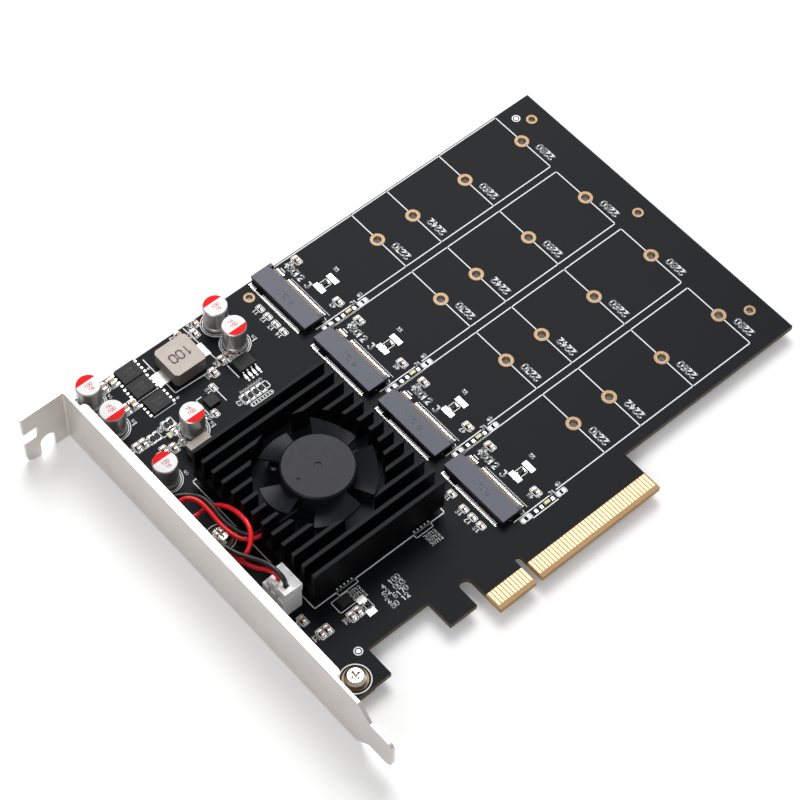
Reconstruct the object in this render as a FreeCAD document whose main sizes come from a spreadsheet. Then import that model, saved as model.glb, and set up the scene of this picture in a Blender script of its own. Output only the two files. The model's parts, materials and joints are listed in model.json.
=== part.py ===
import FreeCAD, Part
import math
import os
import Sketcher
from FreeCAD import Vector

# NVMe adapter card: a PCIe x8 board with four M.2 sockets, a fan-cooled switch chip and a
# slot bracket. The working frame has X from the bracket to the far end, Y from the edge
# fingers to the top edge and Z up from the board's top face. X = 0 is the datum of the M.2
# sockets and Y = 0 is the centre line of the lowest socket.

SIZES = [
    # board outline
    ("board_left", -62.9),
    ("board_right", 91.8),
    ("board_top", 83.9),
    ("board_bottom", -14.35),
    ("board_thick", 1.6),
    ("corner_tab_right", -48.4),
    ("corner_tab_bottom", -22.7),
    ("hook_left", -29.8),
    ("hook_right", -21.6),
    ("hook_bottom", -22.25),
    ("hook_slot_end", -15.0),
    # edge fingers
    ("finger_tip", -26.75),
    ("finger_bevel", 0.5),
    ("finger_margin", 0.8),
    ("key_centre", -5.9),
    ("key_width", 1.9),
    ("key_end", -18.5),
    ("key_to_contact", 1.5),
    ("contact_pitch", 1.0),
    ("contact_width", 0.7),
    ("contact_long", 4.0),
    ("contact_inset", 1.15),
    ("copper_thick", 0.05),
    # M.2 positions
    ("slot_pitch", 24.4),
    ("standoff_1", 30.0),
    ("standoff_2", 42.0),
    ("standoff_3", 60.0),
    ("standoff_4", 80.0),
    ("standoff_hole_r", 1.25),
    ("cover_hole_r", 1.05),
    ("cover_hole_inset", 4.8),
    ("cover_hole_upper", 6.94),
    ("cover_hole_lower", -4.0),
    ("cover_hole_left", -6.5),
    ("cover_hole_left_inset", 3.7),
    # slot bracket
    ("bracket_thick", 0.86),
    ("bracket_gap", 0.34),
    ("bracket_low", -4.0),
    ("bracket_wide", 18.42),
    ("bend_r", 0.4),
    ("tail_end", -40.8),
    ("tail_shoulder", -29.0),
    ("tail_inset", 4.1),
    ("tail_taper", 4.2),
    ("tail_low_r", 2.6),
    ("tail_high_r", 1.4),
    ("fold_y", 78.9),
    ("tab_long", 12.4),
    ("tab_notch_r", 2.2),
    ("tab_notch_inset", 6.3),
    ("tab_notch_depth", 4.0),
    ("tab_slot_low", 4.2),
    ("tab_slot_wide", 3.8),
    ("tab_slot_depth", 4.0),
    ("tab_corner_r", 2.0),
    ("flange_start", -20.9),
    ("flange_end", 73.3),
    ("flange_wide", 2.4),
    ("flange_end_r", 1.2),
    ("ear_reach", 3.4),
    ("ear_wide", 9.0),
    ("ear_corner_r", 2.0),
    ("bracket_screw_x", -55.65),
    ("bracket_screw_low", -18.5),
    ("bracket_screw_high", 30.5),
    ("bracket_screw_r", 1.5),
    ("bracket_screw_head_r", 2.65),
    ("bracket_screw_head", 1.9),
    ("bracket_screw_spare", 1.0),
    ("screw_clearance", 0.1),
    # heatsink
    ("sink_left", -50.8),
    ("sink_upper", 46.7),
    ("sink_long", 40.0),
    ("sink_wide", 45.0),
    ("sink_under", 3.0),
    ("sink_floor", 6.0),
    ("sink_top", 14.0),
    ("fin_thick", 1.0),
    ("recess_r", 15.8),
    ("post_r", 2.5),
    ("post_inset", 3.5),
    ("post_screw_r", 1.25),
    ("post_screw_depth", 4.6),
    ("post_screw_head_r", 2.5),
    ("post_screw_head", 1.5),
    ("thread_spare", 0.2),
    # switch chip below the heatsink
    ("chip_side", 27.0),
    ("chip_base", 1.2),
    ("chip_lid_inset", 1.5),
    ("chip_high", 2.4),
    # fan
    ("hub_r", 9.1),
    ("hub_wall", 1.1),
    ("hub_low", 8.2),
    ("hub_top", 14.2),
    ("hub_roof", 1.0),
    ("hub_dimple_r", 1.0),
    ("hub_dimple", 0.25),
    ("hub_mark_r", 0.5),
    ("hub_mark_out", 5.95),
    ("hub_boss_r", 2.0),
    ("hub_boss_low", 11.7),
    ("hub_edge", 0.4),
    ("blade_tip_r", 14.2),
    ("blade_root", 8.3),
    ("blade_half_turn", 24.0),
    ("blade_turn", 34.0),
    ("blade_high", 13.5),
    ("blade_low", 8.8),
    ("blade_thick", 0.8),
    ("blade_camber", 0.7),
    ("shaft_r", 0.75),
    ("shaft_clearance", 0.03),
    ("shaft_low", 7.3),
    ("sleeve_r", 1.6),
    ("tube_r", 2.2),
    ("tube_top", 11.3),
    ("magnet_wall", 0.9),
    ("magnet_low", 8.5),
    ("magnet_top", 12.9),
    ("stator_r", 6.4),
    ("stator_ring", 1.0),
    ("stator_core_r", 3.4),
    ("stator_arm", 1.8),
    ("stator_slot", 1.6),
    ("stator_low", 9.0),
    ("stator_top", 10.9),
    ("coil_in", 3.6),
    ("coil_out", 4.9),
    ("coil_half_wide", 1.6),
    ("coil_wrap", 0.5),
    ("motor_board_r", 7.6),
    ("motor_board_thick", 0.6),
    ("base_r", 10.5),
    ("base_thick", 1.0),
    ("base_ear_out", 11.2),
    ("base_ear_r", 2.3),
    ("base_ear_turn", 116.8),
    ("base_screw_r", 0.8),
    ("base_screw_head_r", 1.6),
    ("base_screw_head", 0.9),
    ("base_screw_depth", 2.4),
    ("base_notch_end", 7.6),
    # fan lead and its connector
    ("wire_r", 0.6),
    ("wire_clearance", 0.05),
    ("wire_start", 6.75),
    ("red_lane", -2.46),
    ("black_lane", -1.2),
    ("header_x", -55.35),
    ("header_y", 7.95),
    ("header_long", 5.7),
    ("header_wide", 7.4),
    ("header_high", 7.0),
    ("header_wall", 0.6),
    ("header_floor", 1.6),
    ("header_notch", 1.2),
    ("header_notch_depth", 3.5),
    ("pin_pitch", 2.5),
    ("pin_side", 0.64),
    ("pin_top", 6.0),
    ("pin_tail", 1.4),
    ("plug_fit", 0.05),
    ("plug_top", 9.6),
    ("plug_entry", 8.6),
    ("plug_over", 0.9),
    ("plug_step", 0.1),
    # M.2 connectors
    ("socket_back", -3.2),
    ("socket_front", 2.8),
    ("socket_long", 21.6),
    ("socket_shift", -0.7),
    ("socket_high", 4.2),
    ("socket_lip", 1.5),
    ("socket_lip_set_back", 0.8),
    ("socket_edge", 0.5),
    ("mouth_back", -1.8),
    ("mouth_high", 1.3),
    ("mouth_flare", 0.6),
    ("mouth_end_wall", 1.2),
    ("socket_key_y", 7.05),
    ("socket_key_wide", 1.0),
    ("socket_key_seat", 0.2),
    ("socket_key_high", 2.1),
    ("socket_peg_r", 0.55),
    ("socket_peg_inset", 1.5),
    ("socket_peg_long", 1.12),
    ("socket_pin_pitch", 0.5),
    ("socket_pin_wide", 0.24),
    ("socket_pin_thick", 0.2),
    ("socket_pin_reach", 1.0),
    ("back_pins_upper", 2.1),
    ("back_pins_lower", 2.6),
    ("front_pins_upper", 2.2),
    ("front_pins_lower", 3.1),
    # capacitor cans
    ("can_r", 3.15),
    ("can_high", 8.0),
    ("can_foot", 0.4),
    ("can_groove", 0.25),
    ("can_groove_low", 0.8),
    ("can_groove_half", 0.3),
    ("can_edge", 0.4),
    ("can_seal_inset", 0.35),
    ("can_lead_r", 0.3),
    ("can_lead_pitch", 2.5),
    ("lead_tail", 1.2),
    ("joint_r", 0.8),
    ("joint_high", 0.7),
    ("joint_end_r", 0.45),
    ("pin_joint_r", 0.9),
    ("pin_joint_end_r", 0.6),
    # coils and chips
    ("coil_box_side", 9.6),
    ("coil_box_high", 4.6),
    ("coil_box_x", -32.2),
    ("coil_box_y", 75.2),
    ("coil_box_edge", 0.8),
    ("coil_foot_wide", 4.0),
    ("coil_foot_reach", 2.6),
    ("coil_foot_thick", 0.3),
    ("small_coil_x", -44.0),
    ("small_coil_gap", 1.4),
    ("small_coil_side", 6.2),
    ("small_coil_high", 3.6),
    ("fet_long", 5.8),
    ("fet_wide", 4.8),
    ("fet_high", 1.0),
    ("driver_x", -20.3),
    ("driver_y", 65.4),
    ("driver_long", 4.9),
    ("driver_wide", 3.9),
    ("driver_low", 0.15),
    ("driver_high", 1.5),
    ("driver_pin_pitch", 1.27),
    ("driver_pin_wide", 0.42),
    ("driver_pin_thick", 0.2),
    ("driver_pin_reach", 1.0),
    ("controller_x", -33.2),
    ("controller_y", 61.9),
    ("controller_long", 3.2),
    ("controller_wide", 3.0),
    ("controller_high", 0.8),
    ("clock_x", -44.7),
    ("clock_gap", 2.1),
    ("clock_long", 2.9),
    ("clock_wide", 2.4),
    ("clock_high", 1.0),
    ("resistor_long", 1.6),
    ("resistor_wide", 0.8),
    ("resistor_high", 0.45),
    ("led_high", 0.6),
]

SHORT_SIDE_CONTACTS = 11
LONG_SIDE_CONTACTS = 38
FIN_COUNT = 13
BLADE_COUNT = 5
EAR_COUNT = 3
SLOT_COUNT = 4
LEAD_SIDES = 8
DRIVER_LEADS = 8
SHORT_SOCKET_ROW = 5
LONG_SOCKET_ROW = 29

# Share of a ceramic part's length that each metal end takes.
METAL_END = 0.22

# Centre of each capacitor can, X and Y.
CAN_PLACES = [(-56.0, 80.6), (-56.0, 71.1), (-41.7, 58.3), (-55.4, 51.4), (-17.8, 79.3), (-18.0, 71.6)]
FET_PLACES = [(-43.6, 81.3), (-43.9, 76.1), (-43.5, 70.0)]

# Leadless ceramic capacitors with their metal ends along Y: X, Y, width, length, height.
SMALL, MEDIUM, LARGE = (0.5, 1.0, 0.5), (0.8, 1.6, 0.8), (1.25, 2.0, 1.1)
CAP_PLACES = [
    (SMALL, [(-6.5, 75.8), (-6.5, 72.7), (-6.5, 69.6), (-6.5, 66.6), (-5.9, 4.2), (-6.5, -0.8), (-6.5, -3.9),
             (-6.5, -6.9), (-30.3, 64.9), (-34.6, 58.7), (-45.4, 61.0), (-45.6, 57.2)]),
    (MEDIUM, [(-23.7, 80.5), (-21.8, 83.0), (-23.5, 69.8), (-21.5, 69.8), (-27.2, 82.6), (-27.4, 68.3),
              (-55.1, 63.0), (-53.2, 63.0), (-50.6, 58.2), (-55.1, 0.9), (-54.0, -4.6), (-52.2, -4.6),
              (-45.7, -5.7), (-43.7, -5.6), (-48.4, 57.3)]),
    (LARGE, [(-48.4, 82.0), (-51.0, 82.0), (-48.3, 73.5), (-50.6, 73.5)]),
]
RESISTOR_PLACES = [(-50.9, 62.6), (-49.6, 62.6), (-45.9, 63.6), (-44.6, 63.6), (-40.9, -5.8), (-37.6, 62.5),
                   (-37.6, 60.0), (-26.5, 57.2), (-24.8, 57.2), (-23.1, 57.2), (-21.4, 57.2)]
SLOT_CAP_PLACES = [(10.1, 8.3), (9.8, -8.4)]
SLOT_LED_PLACE = (9.7, -12.4)
SLOT_RESISTOR_PLACE = (10.8, -2.0)
POWER_LED_PLACE = (-47.3, 60.6)

DOC = FreeCAD.newDocument("nvme_adapter_card")


class Size:
    """A number together with the spreadsheet expression that it comes from."""

    def __init__(self, text, value):
        self.text = text
        self.value = value

    def __add__(self, other):
        return joined(self, "+", other, self.value + number(other))

    def __radd__(self, other):
        return joined(other, "+", self, number(other) + self.value)

    def __sub__(self, other):
        return joined(self, "-", other, self.value - number(other))

    def __rsub__(self, other):
        return joined(other, "-", self, number(other) - self.value)

    def __mul__(self, other):
        return joined(self, "*", other, self.value * number(other))

    def __rmul__(self, other):
        return joined(other, "*", self, number(other) * self.value)

    def __truediv__(self, other):
        return joined(self, "/", other, self.value / number(other))

    def __neg__(self):
        return joined(0, "-", self, -self.value)


def number(size):
    return size.value if isinstance(size, Size) else float(size)


def text(size):
    return size.text if isinstance(size, Size) else repr(float(size))


def as_size(value):
    return value if isinstance(value, Size) else Size(text(value), float(value))


def joined(first, sign, second, value):
    return Size(f"({text(first)} {sign} {text(second)})", value)


def root(size):
    return Size(f"sqrt({text(size)})", math.sqrt(number(size)))


def cosine(degrees):
    return Size(f"cos({text(degrees)})", math.cos(math.radians(number(degrees))))


def sine(degrees):
    return Size(f"sin({text(degrees)})", math.sin(math.radians(number(degrees))))


class Dims:
    """The driving dimensions, read from the sheet by their alias."""

    def __init__(self, rows):
        self.sheet = DOC.addObject("Spreadsheet::Sheet", "dims")
        for row, (alias, value) in enumerate(rows, start=1):
            self.sheet.set(f"A{row}", alias)
            self.sheet.set(f"B{row}", str(value))
            self.sheet.setAlias(f"B{row}", alias)
        DOC.recompute()

    def __getattr__(self, alias):
        return Size(f"dims.{alias}", float(self.sheet.get(alias)))


D = Dims(SIZES)
ZERO = as_size(0)

# The part's own origin is the middle of its footprint, at the height of the bracket's lower edge.
BRACKET_INNER = D.board_left - D.bracket_gap
BRACKET_OUTER = BRACKET_INNER - D.bracket_thick
TAB_END = BRACKET_OUTER - D.tab_long
ORIGIN = ((TAB_END + D.board_right) / 2, (D.tail_end + D.board_top) / 2, D.bracket_low)

SINK_X = D.sink_left + D.sink_long / 2
SINK_Y = D.sink_upper - D.sink_wide / 2
FIN_PITCH = (D.sink_wide - D.fin_thick) / (FIN_COUNT - 1)
FINGER_LEFT = D.key_centre - D.key_to_contact - D.contact_pitch * (SHORT_SIDE_CONTACTS - 1) - D.finger_margin
FINGER_RIGHT = D.key_centre + D.key_to_contact + D.contact_pitch * (LONG_SIDE_CONTACTS - 1) + D.finger_margin
STANDOFFS = (D.standoff_1, D.standoff_2, D.standoff_3, D.standoff_4)
CAN_LEAD_OFFSETS = (-D.can_lead_pitch / 2, D.can_lead_pitch / 2)

NODES = []


# Helpers for objects, bindings and sketches

def bind(obj, path, size):
    obj.setExpression(path, text(size))


def set_base(obj, place):
    for axis, size in zip("xyz", place):
        bind(obj, f"Placement.Base.{axis}", size)


def box(name, corner, spans):
    """A box by its lowest corner and its spans along X, Y and Z."""
    obj = DOC.addObject("Part::Box", name)
    for prop, size in zip(("Length", "Width", "Height"), spans):
        bind(obj, prop, size)
    set_base(obj, corner)
    return obj


def box_about(name, centre, spans):
    """A box that stands on a height, centred on X and Y."""
    x, y, z = centre
    return box(name, (x - spans[0] / 2, y - spans[1] / 2, z), spans)


def rod(name, foot, radius, height):
    """An upright cylinder that stands on the centre of its lower end."""
    obj = DOC.addObject("Part::Cylinder", name)
    bind(obj, "Radius", radius)
    bind(obj, "Height", height)
    set_base(obj, foot)
    return obj


def prism(name, foot, radius, height):
    """An upright lead or small hole with few sides, by the centre of its lower end."""
    obj = DOC.addObject("Part::Prism", name)
    obj.Polygon = LEAD_SIDES
    bind(obj, "Circumradius", radius)
    bind(obj, "Height", height)
    set_base(obj, foot)
    return obj


def cut(name, base, tool):
    obj = DOC.addObject("Part::Cut", name)
    obj.Base = base
    obj.Tool = tool
    return obj


def fuse(name, pieces):
    obj = DOC.addObject("Part::MultiFuse", name)
    obj.Shapes = pieces
    return obj


def compound(name, pieces):
    obj = DOC.addObject("Part::Compound", name)
    obj.Links = pieces
    return obj


def link(name, source, place):
    """A copy of another object that keeps that object's shape."""
    obj = DOC.addObject("App::Link", name)
    obj.LinkedObject = source
    set_base(obj, place)
    return obj


def keep(obj, name, place=(0, 0, 0)):
    """Makes an object a sub-part of the card, moved from the working frame to the part's own."""
    obj.Label = name
    set_base(obj, [place[axis] - ORIGIN[axis] for axis in range(3)])
    NODES.append(obj)
    return obj


def keep_all(name, pieces):
    return keep(compound(name, pieces), name)


def new_body(name):
    return DOC.addObject("PartDesign::Body", name)


def sketch_on(body, name, role, lift=0):
    """An empty sketch on one of the body's origin planes, moved along the plane's normal."""
    plane = [item for item in body.Origin.OriginFeatures if item.Role == role][0]
    sketch = body.newObject("Sketcher::SketchObject", name)
    sketch.AttachmentSupport = (plane, "")
    sketch.MapMode = "FlatFace"
    bind(sketch, "AttachmentOffset.Base.z", lift)
    return sketch


def fix(sketch, kind, size, *where):
    index = sketch.addConstraint(Sketcher.Constraint(kind, *where, number(size)))
    bind(sketch, f"Constraints[{index}]", size)


def fix_point(sketch, item, spot, x, y):
    fix(sketch, "DistanceX", x, -1, 1, item, spot)
    fix(sketch, "DistanceY", y, -1, 1, item, spot)


def fix_arc_centre(sketch, item, here, there, sag):
    """Sets an arc's centre from its two ends and its sag, along the axis that moves it most."""
    across, along = there[0] - here[0], there[1] - here[1]
    chord = root(across * across + along * along)
    out = sag / 2 - chord * chord / (sag * 8)
    if abs(number(along)) > abs(number(across)):
        fix(sketch, "DistanceX", (here[0] + there[0]) / 2 + along / chord * out, -1, 1, item, 3)
    else:
        fix(sketch, "DistanceY", (here[1] + there[1]) / 2 - across / chord * out, -1, 1, item, 3)


def outline(sketch, corners):
    """A closed outline. A corner is (x, y), or (x, y, sag) where an arc leads on to the next.

    The arc bulges to the right of its way by the sag, or to the left if the sag is negative.
    """
    corners = [tuple(as_size(value) for value in corner) for corner in corners]
    items = []
    for corner, there in zip(corners, corners[1:] + corners[:1]):
        start = Vector(number(corner[0]), number(corner[1]), 0)
        end = Vector(number(there[0]), number(there[1]), 0)
        curve = Part.LineSegment(start, end)
        if len(corner) == 3:
            chord = end - start
            side = Vector(chord.y, -chord.x, 0).normalize()
            curve = Part.Arc(start, (start + end) * 0.5 + side * number(corner[2]), end)
        item = sketch.addGeometry(curve)
        forward = (sketch.getPoint(item, 1) - start).Length < 1e-6
        items.append((item, 1, 2) if forward else (item, 2, 1))
    for (item, first, last), following in zip(items, items[1:] + items[:1]):
        sketch.addConstraint(Sketcher.Constraint("Coincident", item, last, following[0], following[1]))
    for (item, first, _), corner, there in zip(items, corners, corners[1:] + corners[:1]):
        fix_point(sketch, item, first, corner[0], corner[1])
        if len(corner) == 3:
            fix_arc_centre(sketch, item, corner, there, corner[2])


def rectangle(sketch, low, high):
    outline(sketch, [low, (high[0], low[1]), high, (low[0], high[1])])


def circle(sketch, x, y, radius):
    middle = Vector(number(x), number(y), 0)
    item = sketch.addGeometry(Part.Circle(middle, Vector(0, 0, 1), number(radius)))
    fix_point(sketch, item, 3, x, y)
    fix(sketch, "Radius", radius, item)


def polygon(sketch, x, y, radius, sides=LEAD_SIDES):
    """A regular polygon round a centre, with a corner towards +X."""
    turns = [360 / sides * step for step in range(sides)]
    outline(sketch, [(x + radius * cosine(turn), y + radius * sine(turn)) for turn in turns])


def pad(body, name, sketch, length, reverse=False, both_ways=False):
    feature = body.newObject("PartDesign::Pad", name)
    feature.Profile = sketch
    bind(feature, "Length", length)
    feature.Reversed = reverse
    feature.Midplane = both_ways
    body.Tip = feature
    return feature


def pocket(body, name, sketch, depth, reverse=False, both_ways=False):
    feature = body.newObject("PartDesign::Pocket", name)
    feature.Profile = sketch
    bind(feature, "Length", depth)
    feature.Reversed = reverse
    feature.Midplane = both_ways
    body.Tip = feature
    return feature


def revolve(body, name, sketch, cutting=False):
    """Turns a sketch on the XZ plane about the body's Z axis."""
    kind = "PartDesign::Groove" if cutting else "PartDesign::Revolution"
    feature = body.newObject(kind, name)
    feature.Profile = sketch
    feature.ReferenceAxis = (sketch, ["V_Axis"])
    feature.Angle = 360
    body.Tip = feature
    return feature


def loft(body, name, sections):
    """A ruled solid through sketches on parallel planes."""
    feature = body.newObject("PartDesign::AdditiveLoft", name)
    feature.Profile = sections[0]
    feature.Sections = sections[1:]
    feature.Ruled = True
    body.Tip = feature
    return feature


def turned_copies(body, name, features, count):
    axis = [item for item in body.Origin.OriginFeatures if item.Role == "Z_Axis"][0]
    pattern = body.newObject("PartDesign::PolarPattern", name)
    pattern.Originals = features
    pattern.Axis = (axis, [""])
    pattern.Angle = 360
    pattern.Occurrences = count
    body.Tip = pattern
    return pattern


def rows_of(body, name, features, role, length, count):
    axis = [item for item in body.Origin.OriginFeatures if item.Role == role][0]
    pattern = body.newObject("PartDesign::LinearPattern", name)
    pattern.Originals = features
    pattern.Direction = (axis, [""])
    bind(pattern, "Length", length)
    pattern.Occurrences = count
    body.Tip = pattern
    return pattern


def edge_runs(edge, direction):
    """True for a straight edge that is parallel to an axis, given as 0, 1 or 2."""
    if len(edge.Vertexes) != 2:
        return False
    span = edge.Vertexes[1].Point - edge.Vertexes[0].Point
    return abs(span[direction]) > 1e-6 and abs(abs(span[direction]) - edge.Length) < 1e-6


def edges_at(body, direction, *spots):
    """Names of the edges along one axis that pass through a spot in the plane across it."""
    DOC.recompute()
    across = [axis for axis in range(3) if axis != direction]
    names = []
    for index, edge in enumerate(body.Tip.Shape.Edges, start=1):
        if not edge_runs(edge, direction):
            continue
        point = edge.Vertexes[0].Point
        for spot in spots:
            if all(abs(point[axis] - number(value)) < 1e-4 for axis, value in zip(across, spot)):
                names.append(f"Edge{index}")
    return names


def dress(body, name, kind, size, edges):
    """A fillet or a chamfer on the tip's edges."""
    base = body.Tip
    feature = body.newObject(f"PartDesign::{kind}", name)
    feature.Base = (base, edges)
    bind(feature, "Radius" if kind == "Fillet" else "Size", size)
    body.Tip = feature
    return feature


def slot_y(index):
    """Y of an M.2 socket's centre line, counted from the top edge of the board."""
    return D.slot_pitch * (SLOT_COUNT - 1 - index)


def post_places():
    """The heatsink's four posts."""
    across = D.sink_long / 2 - D.post_inset
    along = D.sink_wide / 2 - D.post_inset
    return [(SINK_X + across * right, SINK_Y + along * up) for right in (-1, 1) for up in (-1, 1)]


def ear_places():
    """The three screw ears of the fan's base, from the fan's centre."""
    turns = [D.base_ear_turn + 360 / EAR_COUNT * step for step in range(EAR_COUNT)]
    return [(D.base_ear_out * cosine(turn), D.base_ear_out * sine(turn)) for turn in turns]


def peg_places():
    """The two locating pegs of an M.2 socket, from its datum."""
    middle = D.socket_shift
    reach = D.socket_long / 2 - D.socket_peg_inset
    return [(0, middle - reach), (0, middle + reach)]


def bracket_screw_places():
    return [(D.bracket_screw_x, D.bracket_screw_low), (D.bracket_screw_x, D.bracket_screw_high)]


def pin_places():
    return [(D.header_x, D.header_y + D.pin_pitch / 2 * side) for side in (-1, 1)]


# Board

def board_outline():
    key_left = D.key_centre - D.key_width / 2
    key_right = D.key_centre + D.key_width / 2
    key_straight = D.key_end - D.key_width / 2
    hook_straight = D.hook_slot_end - (FINGER_LEFT - D.hook_right) / 2
    return [
        (D.board_left, D.corner_tab_bottom),
        (D.corner_tab_right, D.corner_tab_bottom),
        (D.corner_tab_right, D.board_bottom),
        (D.hook_left, D.board_bottom),
        (D.hook_left, D.hook_bottom),
        (D.hook_right, D.hook_bottom),
        (D.hook_right, hook_straight, (D.hook_right - FINGER_LEFT) / 2),
        (FINGER_LEFT, hook_straight),
        (FINGER_LEFT, D.finger_tip),
        (key_left, D.finger_tip),
        (key_left, key_straight, -D.key_width / 2),
        (key_right, key_straight),
        (key_right, D.finger_tip),
        (FINGER_RIGHT, D.finger_tip),
        (FINGER_RIGHT, D.board_bottom),
        (D.board_right, D.board_bottom),
        (D.board_right, D.board_top),
        (D.board_left, D.board_top),
    ]


def board_holes(sketch):
    for index in range(SLOT_COUNT):
        for x in STANDOFFS:
            circle(sketch, x, slot_y(index), D.standoff_hole_r)
    for x, y in cover_hole_places():
        circle(sketch, x, y, D.cover_hole_r)
    for x, y in bracket_screw_places():
        circle(sketch, x, y, D.bracket_screw_r + D.screw_clearance)
    for x, y in post_places():
        circle(sketch, x, y, D.post_screw_r + D.screw_clearance)


def cover_hole_places():
    far = D.board_right - D.cover_hole_inset
    upper = D.board_top - D.cover_hole_upper
    lower = D.cover_hole_lower
    left = (D.cover_hole_left, D.board_top - D.cover_hole_left_inset)
    return [(far, upper), (far, (upper + lower) / 2), (far, lower), left]


def small_holes():
    """Holes for the sockets' pegs and the cans' leads, with as many sides as those have."""
    spots = []
    for index in range(SLOT_COUNT):
        spots += [(x, y + slot_y(index), D.socket_peg_r + D.plug_fit) for x, y in peg_places()]
    for x, y in CAN_PLACES:
        spots += [(x, y + offset, D.can_lead_r + D.screw_clearance) for offset in CAN_LEAD_OFFSETS]
    low = -D.board_thick - 1
    return [prism(f"small_hole_{n}", (x, y, low), r, 1 - low) for n, (x, y, r) in enumerate(spots)]


def make_pcb():
    body = new_body("board")
    face = sketch_on(body, "pcb_outline", "XY_Plane")
    outline(face, board_outline())
    pad(body, "pcb_plate", face, D.board_thick, reverse=True)
    holes = sketch_on(body, "pcb_holes", "XY_Plane")
    board_holes(holes)
    pocket(body, "pcb_drilling", holes, D.board_thick)
    slots = sketch_on(body, "pcb_pin_slots", "XY_Plane")
    for x, y in pin_places():
        half = D.pin_side / 2 + D.plug_fit
        rectangle(slots, (x - half, y - half), (x + half, y + half))
    pocket(body, "pcb_pin_holes", slots, D.board_thick)
    tips = edges_at(body, 0, (D.finger_tip, 0), (D.finger_tip, -D.board_thick))
    dress(body, "pcb_bevel", "Chamfer", D.finger_bevel, tips)
    keep(cut("pcb", body, compound("small_drilling", small_holes())), "pcb")


def make_edge_contacts():
    spans = (D.contact_width, D.contact_long, D.copper_thick)
    for side, low in (("top", ZERO), ("bottom", -D.board_thick - D.copper_thick)):
        pads = []
        for index in range(SHORT_SIDE_CONTACTS + LONG_SIDE_CONTACTS):
            if index < SHORT_SIDE_CONTACTS:
                x = D.key_centre - D.key_to_contact - D.contact_pitch * index
            else:
                x = D.key_centre + D.key_to_contact + D.contact_pitch * (index - SHORT_SIDE_CONTACTS)
            corner = (x - D.contact_width / 2, D.finger_tip + D.contact_inset, low)
            pads.append(box(f"contact_{side}_{index:02d}", corner, spans))
        keep_all(f"edge_contacts_{side}", pads)


# Slot bracket

def make_bracket():
    body = new_body("bracket")
    top = D.bracket_low + D.bracket_wide
    fold_top = D.fold_y + D.bracket_thick
    side = sketch_on(body, "bracket_fold", "XY_Plane", D.bracket_low)
    outline(side, [
        (BRACKET_INNER, D.tail_end),
        (BRACKET_INNER, fold_top),
        (TAB_END, fold_top),
        (TAB_END, D.fold_y),
        (BRACKET_OUTER, D.fold_y),
        (BRACKET_OUTER, D.tail_end),
    ])
    pad(body, "bracket_sheet", side, D.bracket_wide)
    outside = edges_at(body, 2, (BRACKET_INNER, fold_top))
    dress(body, "bend_outside", "Fillet", D.bend_r + D.bracket_thick, outside)
    dress(body, "bend_inside", "Fillet", D.bend_r, edges_at(body, 2, (BRACKET_OUTER, D.fold_y)))
    cut_tail(body, top)
    cut_tab(body)
    add_flange(body, top)
    add_ears(body)
    keep(body, "bracket")


def cut_tail(body, top):
    """Both corners taper into the narrow tail that reaches into the chassis slot."""
    beyond = D.tail_end - 1
    taper_end = D.tail_shoulder - D.tail_taper
    sides = sketch_on(body, "tail_sides", "YZ_Plane")
    for edge, inset, out in ((D.bracket_low, D.tail_inset, -1), (top, -D.tail_inset, 1)):
        outline(sides, [(beyond, edge + out), (D.tail_shoulder, edge + out), (D.tail_shoulder, edge),
                        (taper_end, edge + inset), (beyond, edge + inset)])
    pocket(body, "tail_taper_cut", sides, -BRACKET_OUTER * 3, both_ways=True)
    low_corner = edges_at(body, 0, (D.tail_end, D.bracket_low + D.tail_inset))
    dress(body, "tail_low_corner", "Fillet", D.tail_low_r, low_corner)
    high_corner = edges_at(body, 0, (D.tail_end, top - D.tail_inset))
    dress(body, "tail_high_corner", "Fillet", D.tail_high_r, high_corner)


def cut_tab(body):
    """The screw tab has a round notch in its lower edge and a slot in its end."""
    notch_x = TAB_END + D.tab_notch_inset
    reach = D.fold_y * 4
    notch = sketch_on(body, "tab_notch", "XZ_Plane")
    outline(notch, [
        (notch_x - D.tab_notch_r, D.bracket_low - 1),
        (notch_x + D.tab_notch_r, D.bracket_low - 1),
        (notch_x + D.tab_notch_r, D.bracket_low + D.tab_notch_depth, D.tab_notch_r),
        (notch_x - D.tab_notch_r, D.bracket_low + D.tab_notch_depth),
    ])
    pocket(body, "tab_notch_cut", notch, reach, both_ways=True)
    slot = sketch_on(body, "tab_slot", "XZ_Plane")
    slot_top = D.tab_slot_low + D.tab_slot_wide
    rectangle(slot, (TAB_END - 1, D.tab_slot_low), (TAB_END + D.tab_slot_depth, slot_top))
    pocket(body, "tab_slot_cut", slot, reach, both_ways=True)
    dress(body, "tab_low_corner", "Fillet", D.tab_corner_r, edges_at(body, 1, (TAB_END, D.bracket_low)))


def add_flange(body, top):
    """The long edge above the board is bent inwards as a stiffener."""
    edge = BRACKET_OUTER + D.flange_wide
    face = sketch_on(body, "flange_face", "XY_Plane", top - D.bracket_thick)
    rectangle(face, (BRACKET_OUTER + D.bracket_thick / 2, D.flange_start), (edge, D.flange_end))
    pad(body, "flange", face, D.bracket_thick)
    ends = edges_at(body, 2, (edge, D.flange_start), (edge, D.flange_end))
    dress(body, "flange_ends", "Fillet", D.flange_end_r, ends)


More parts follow.
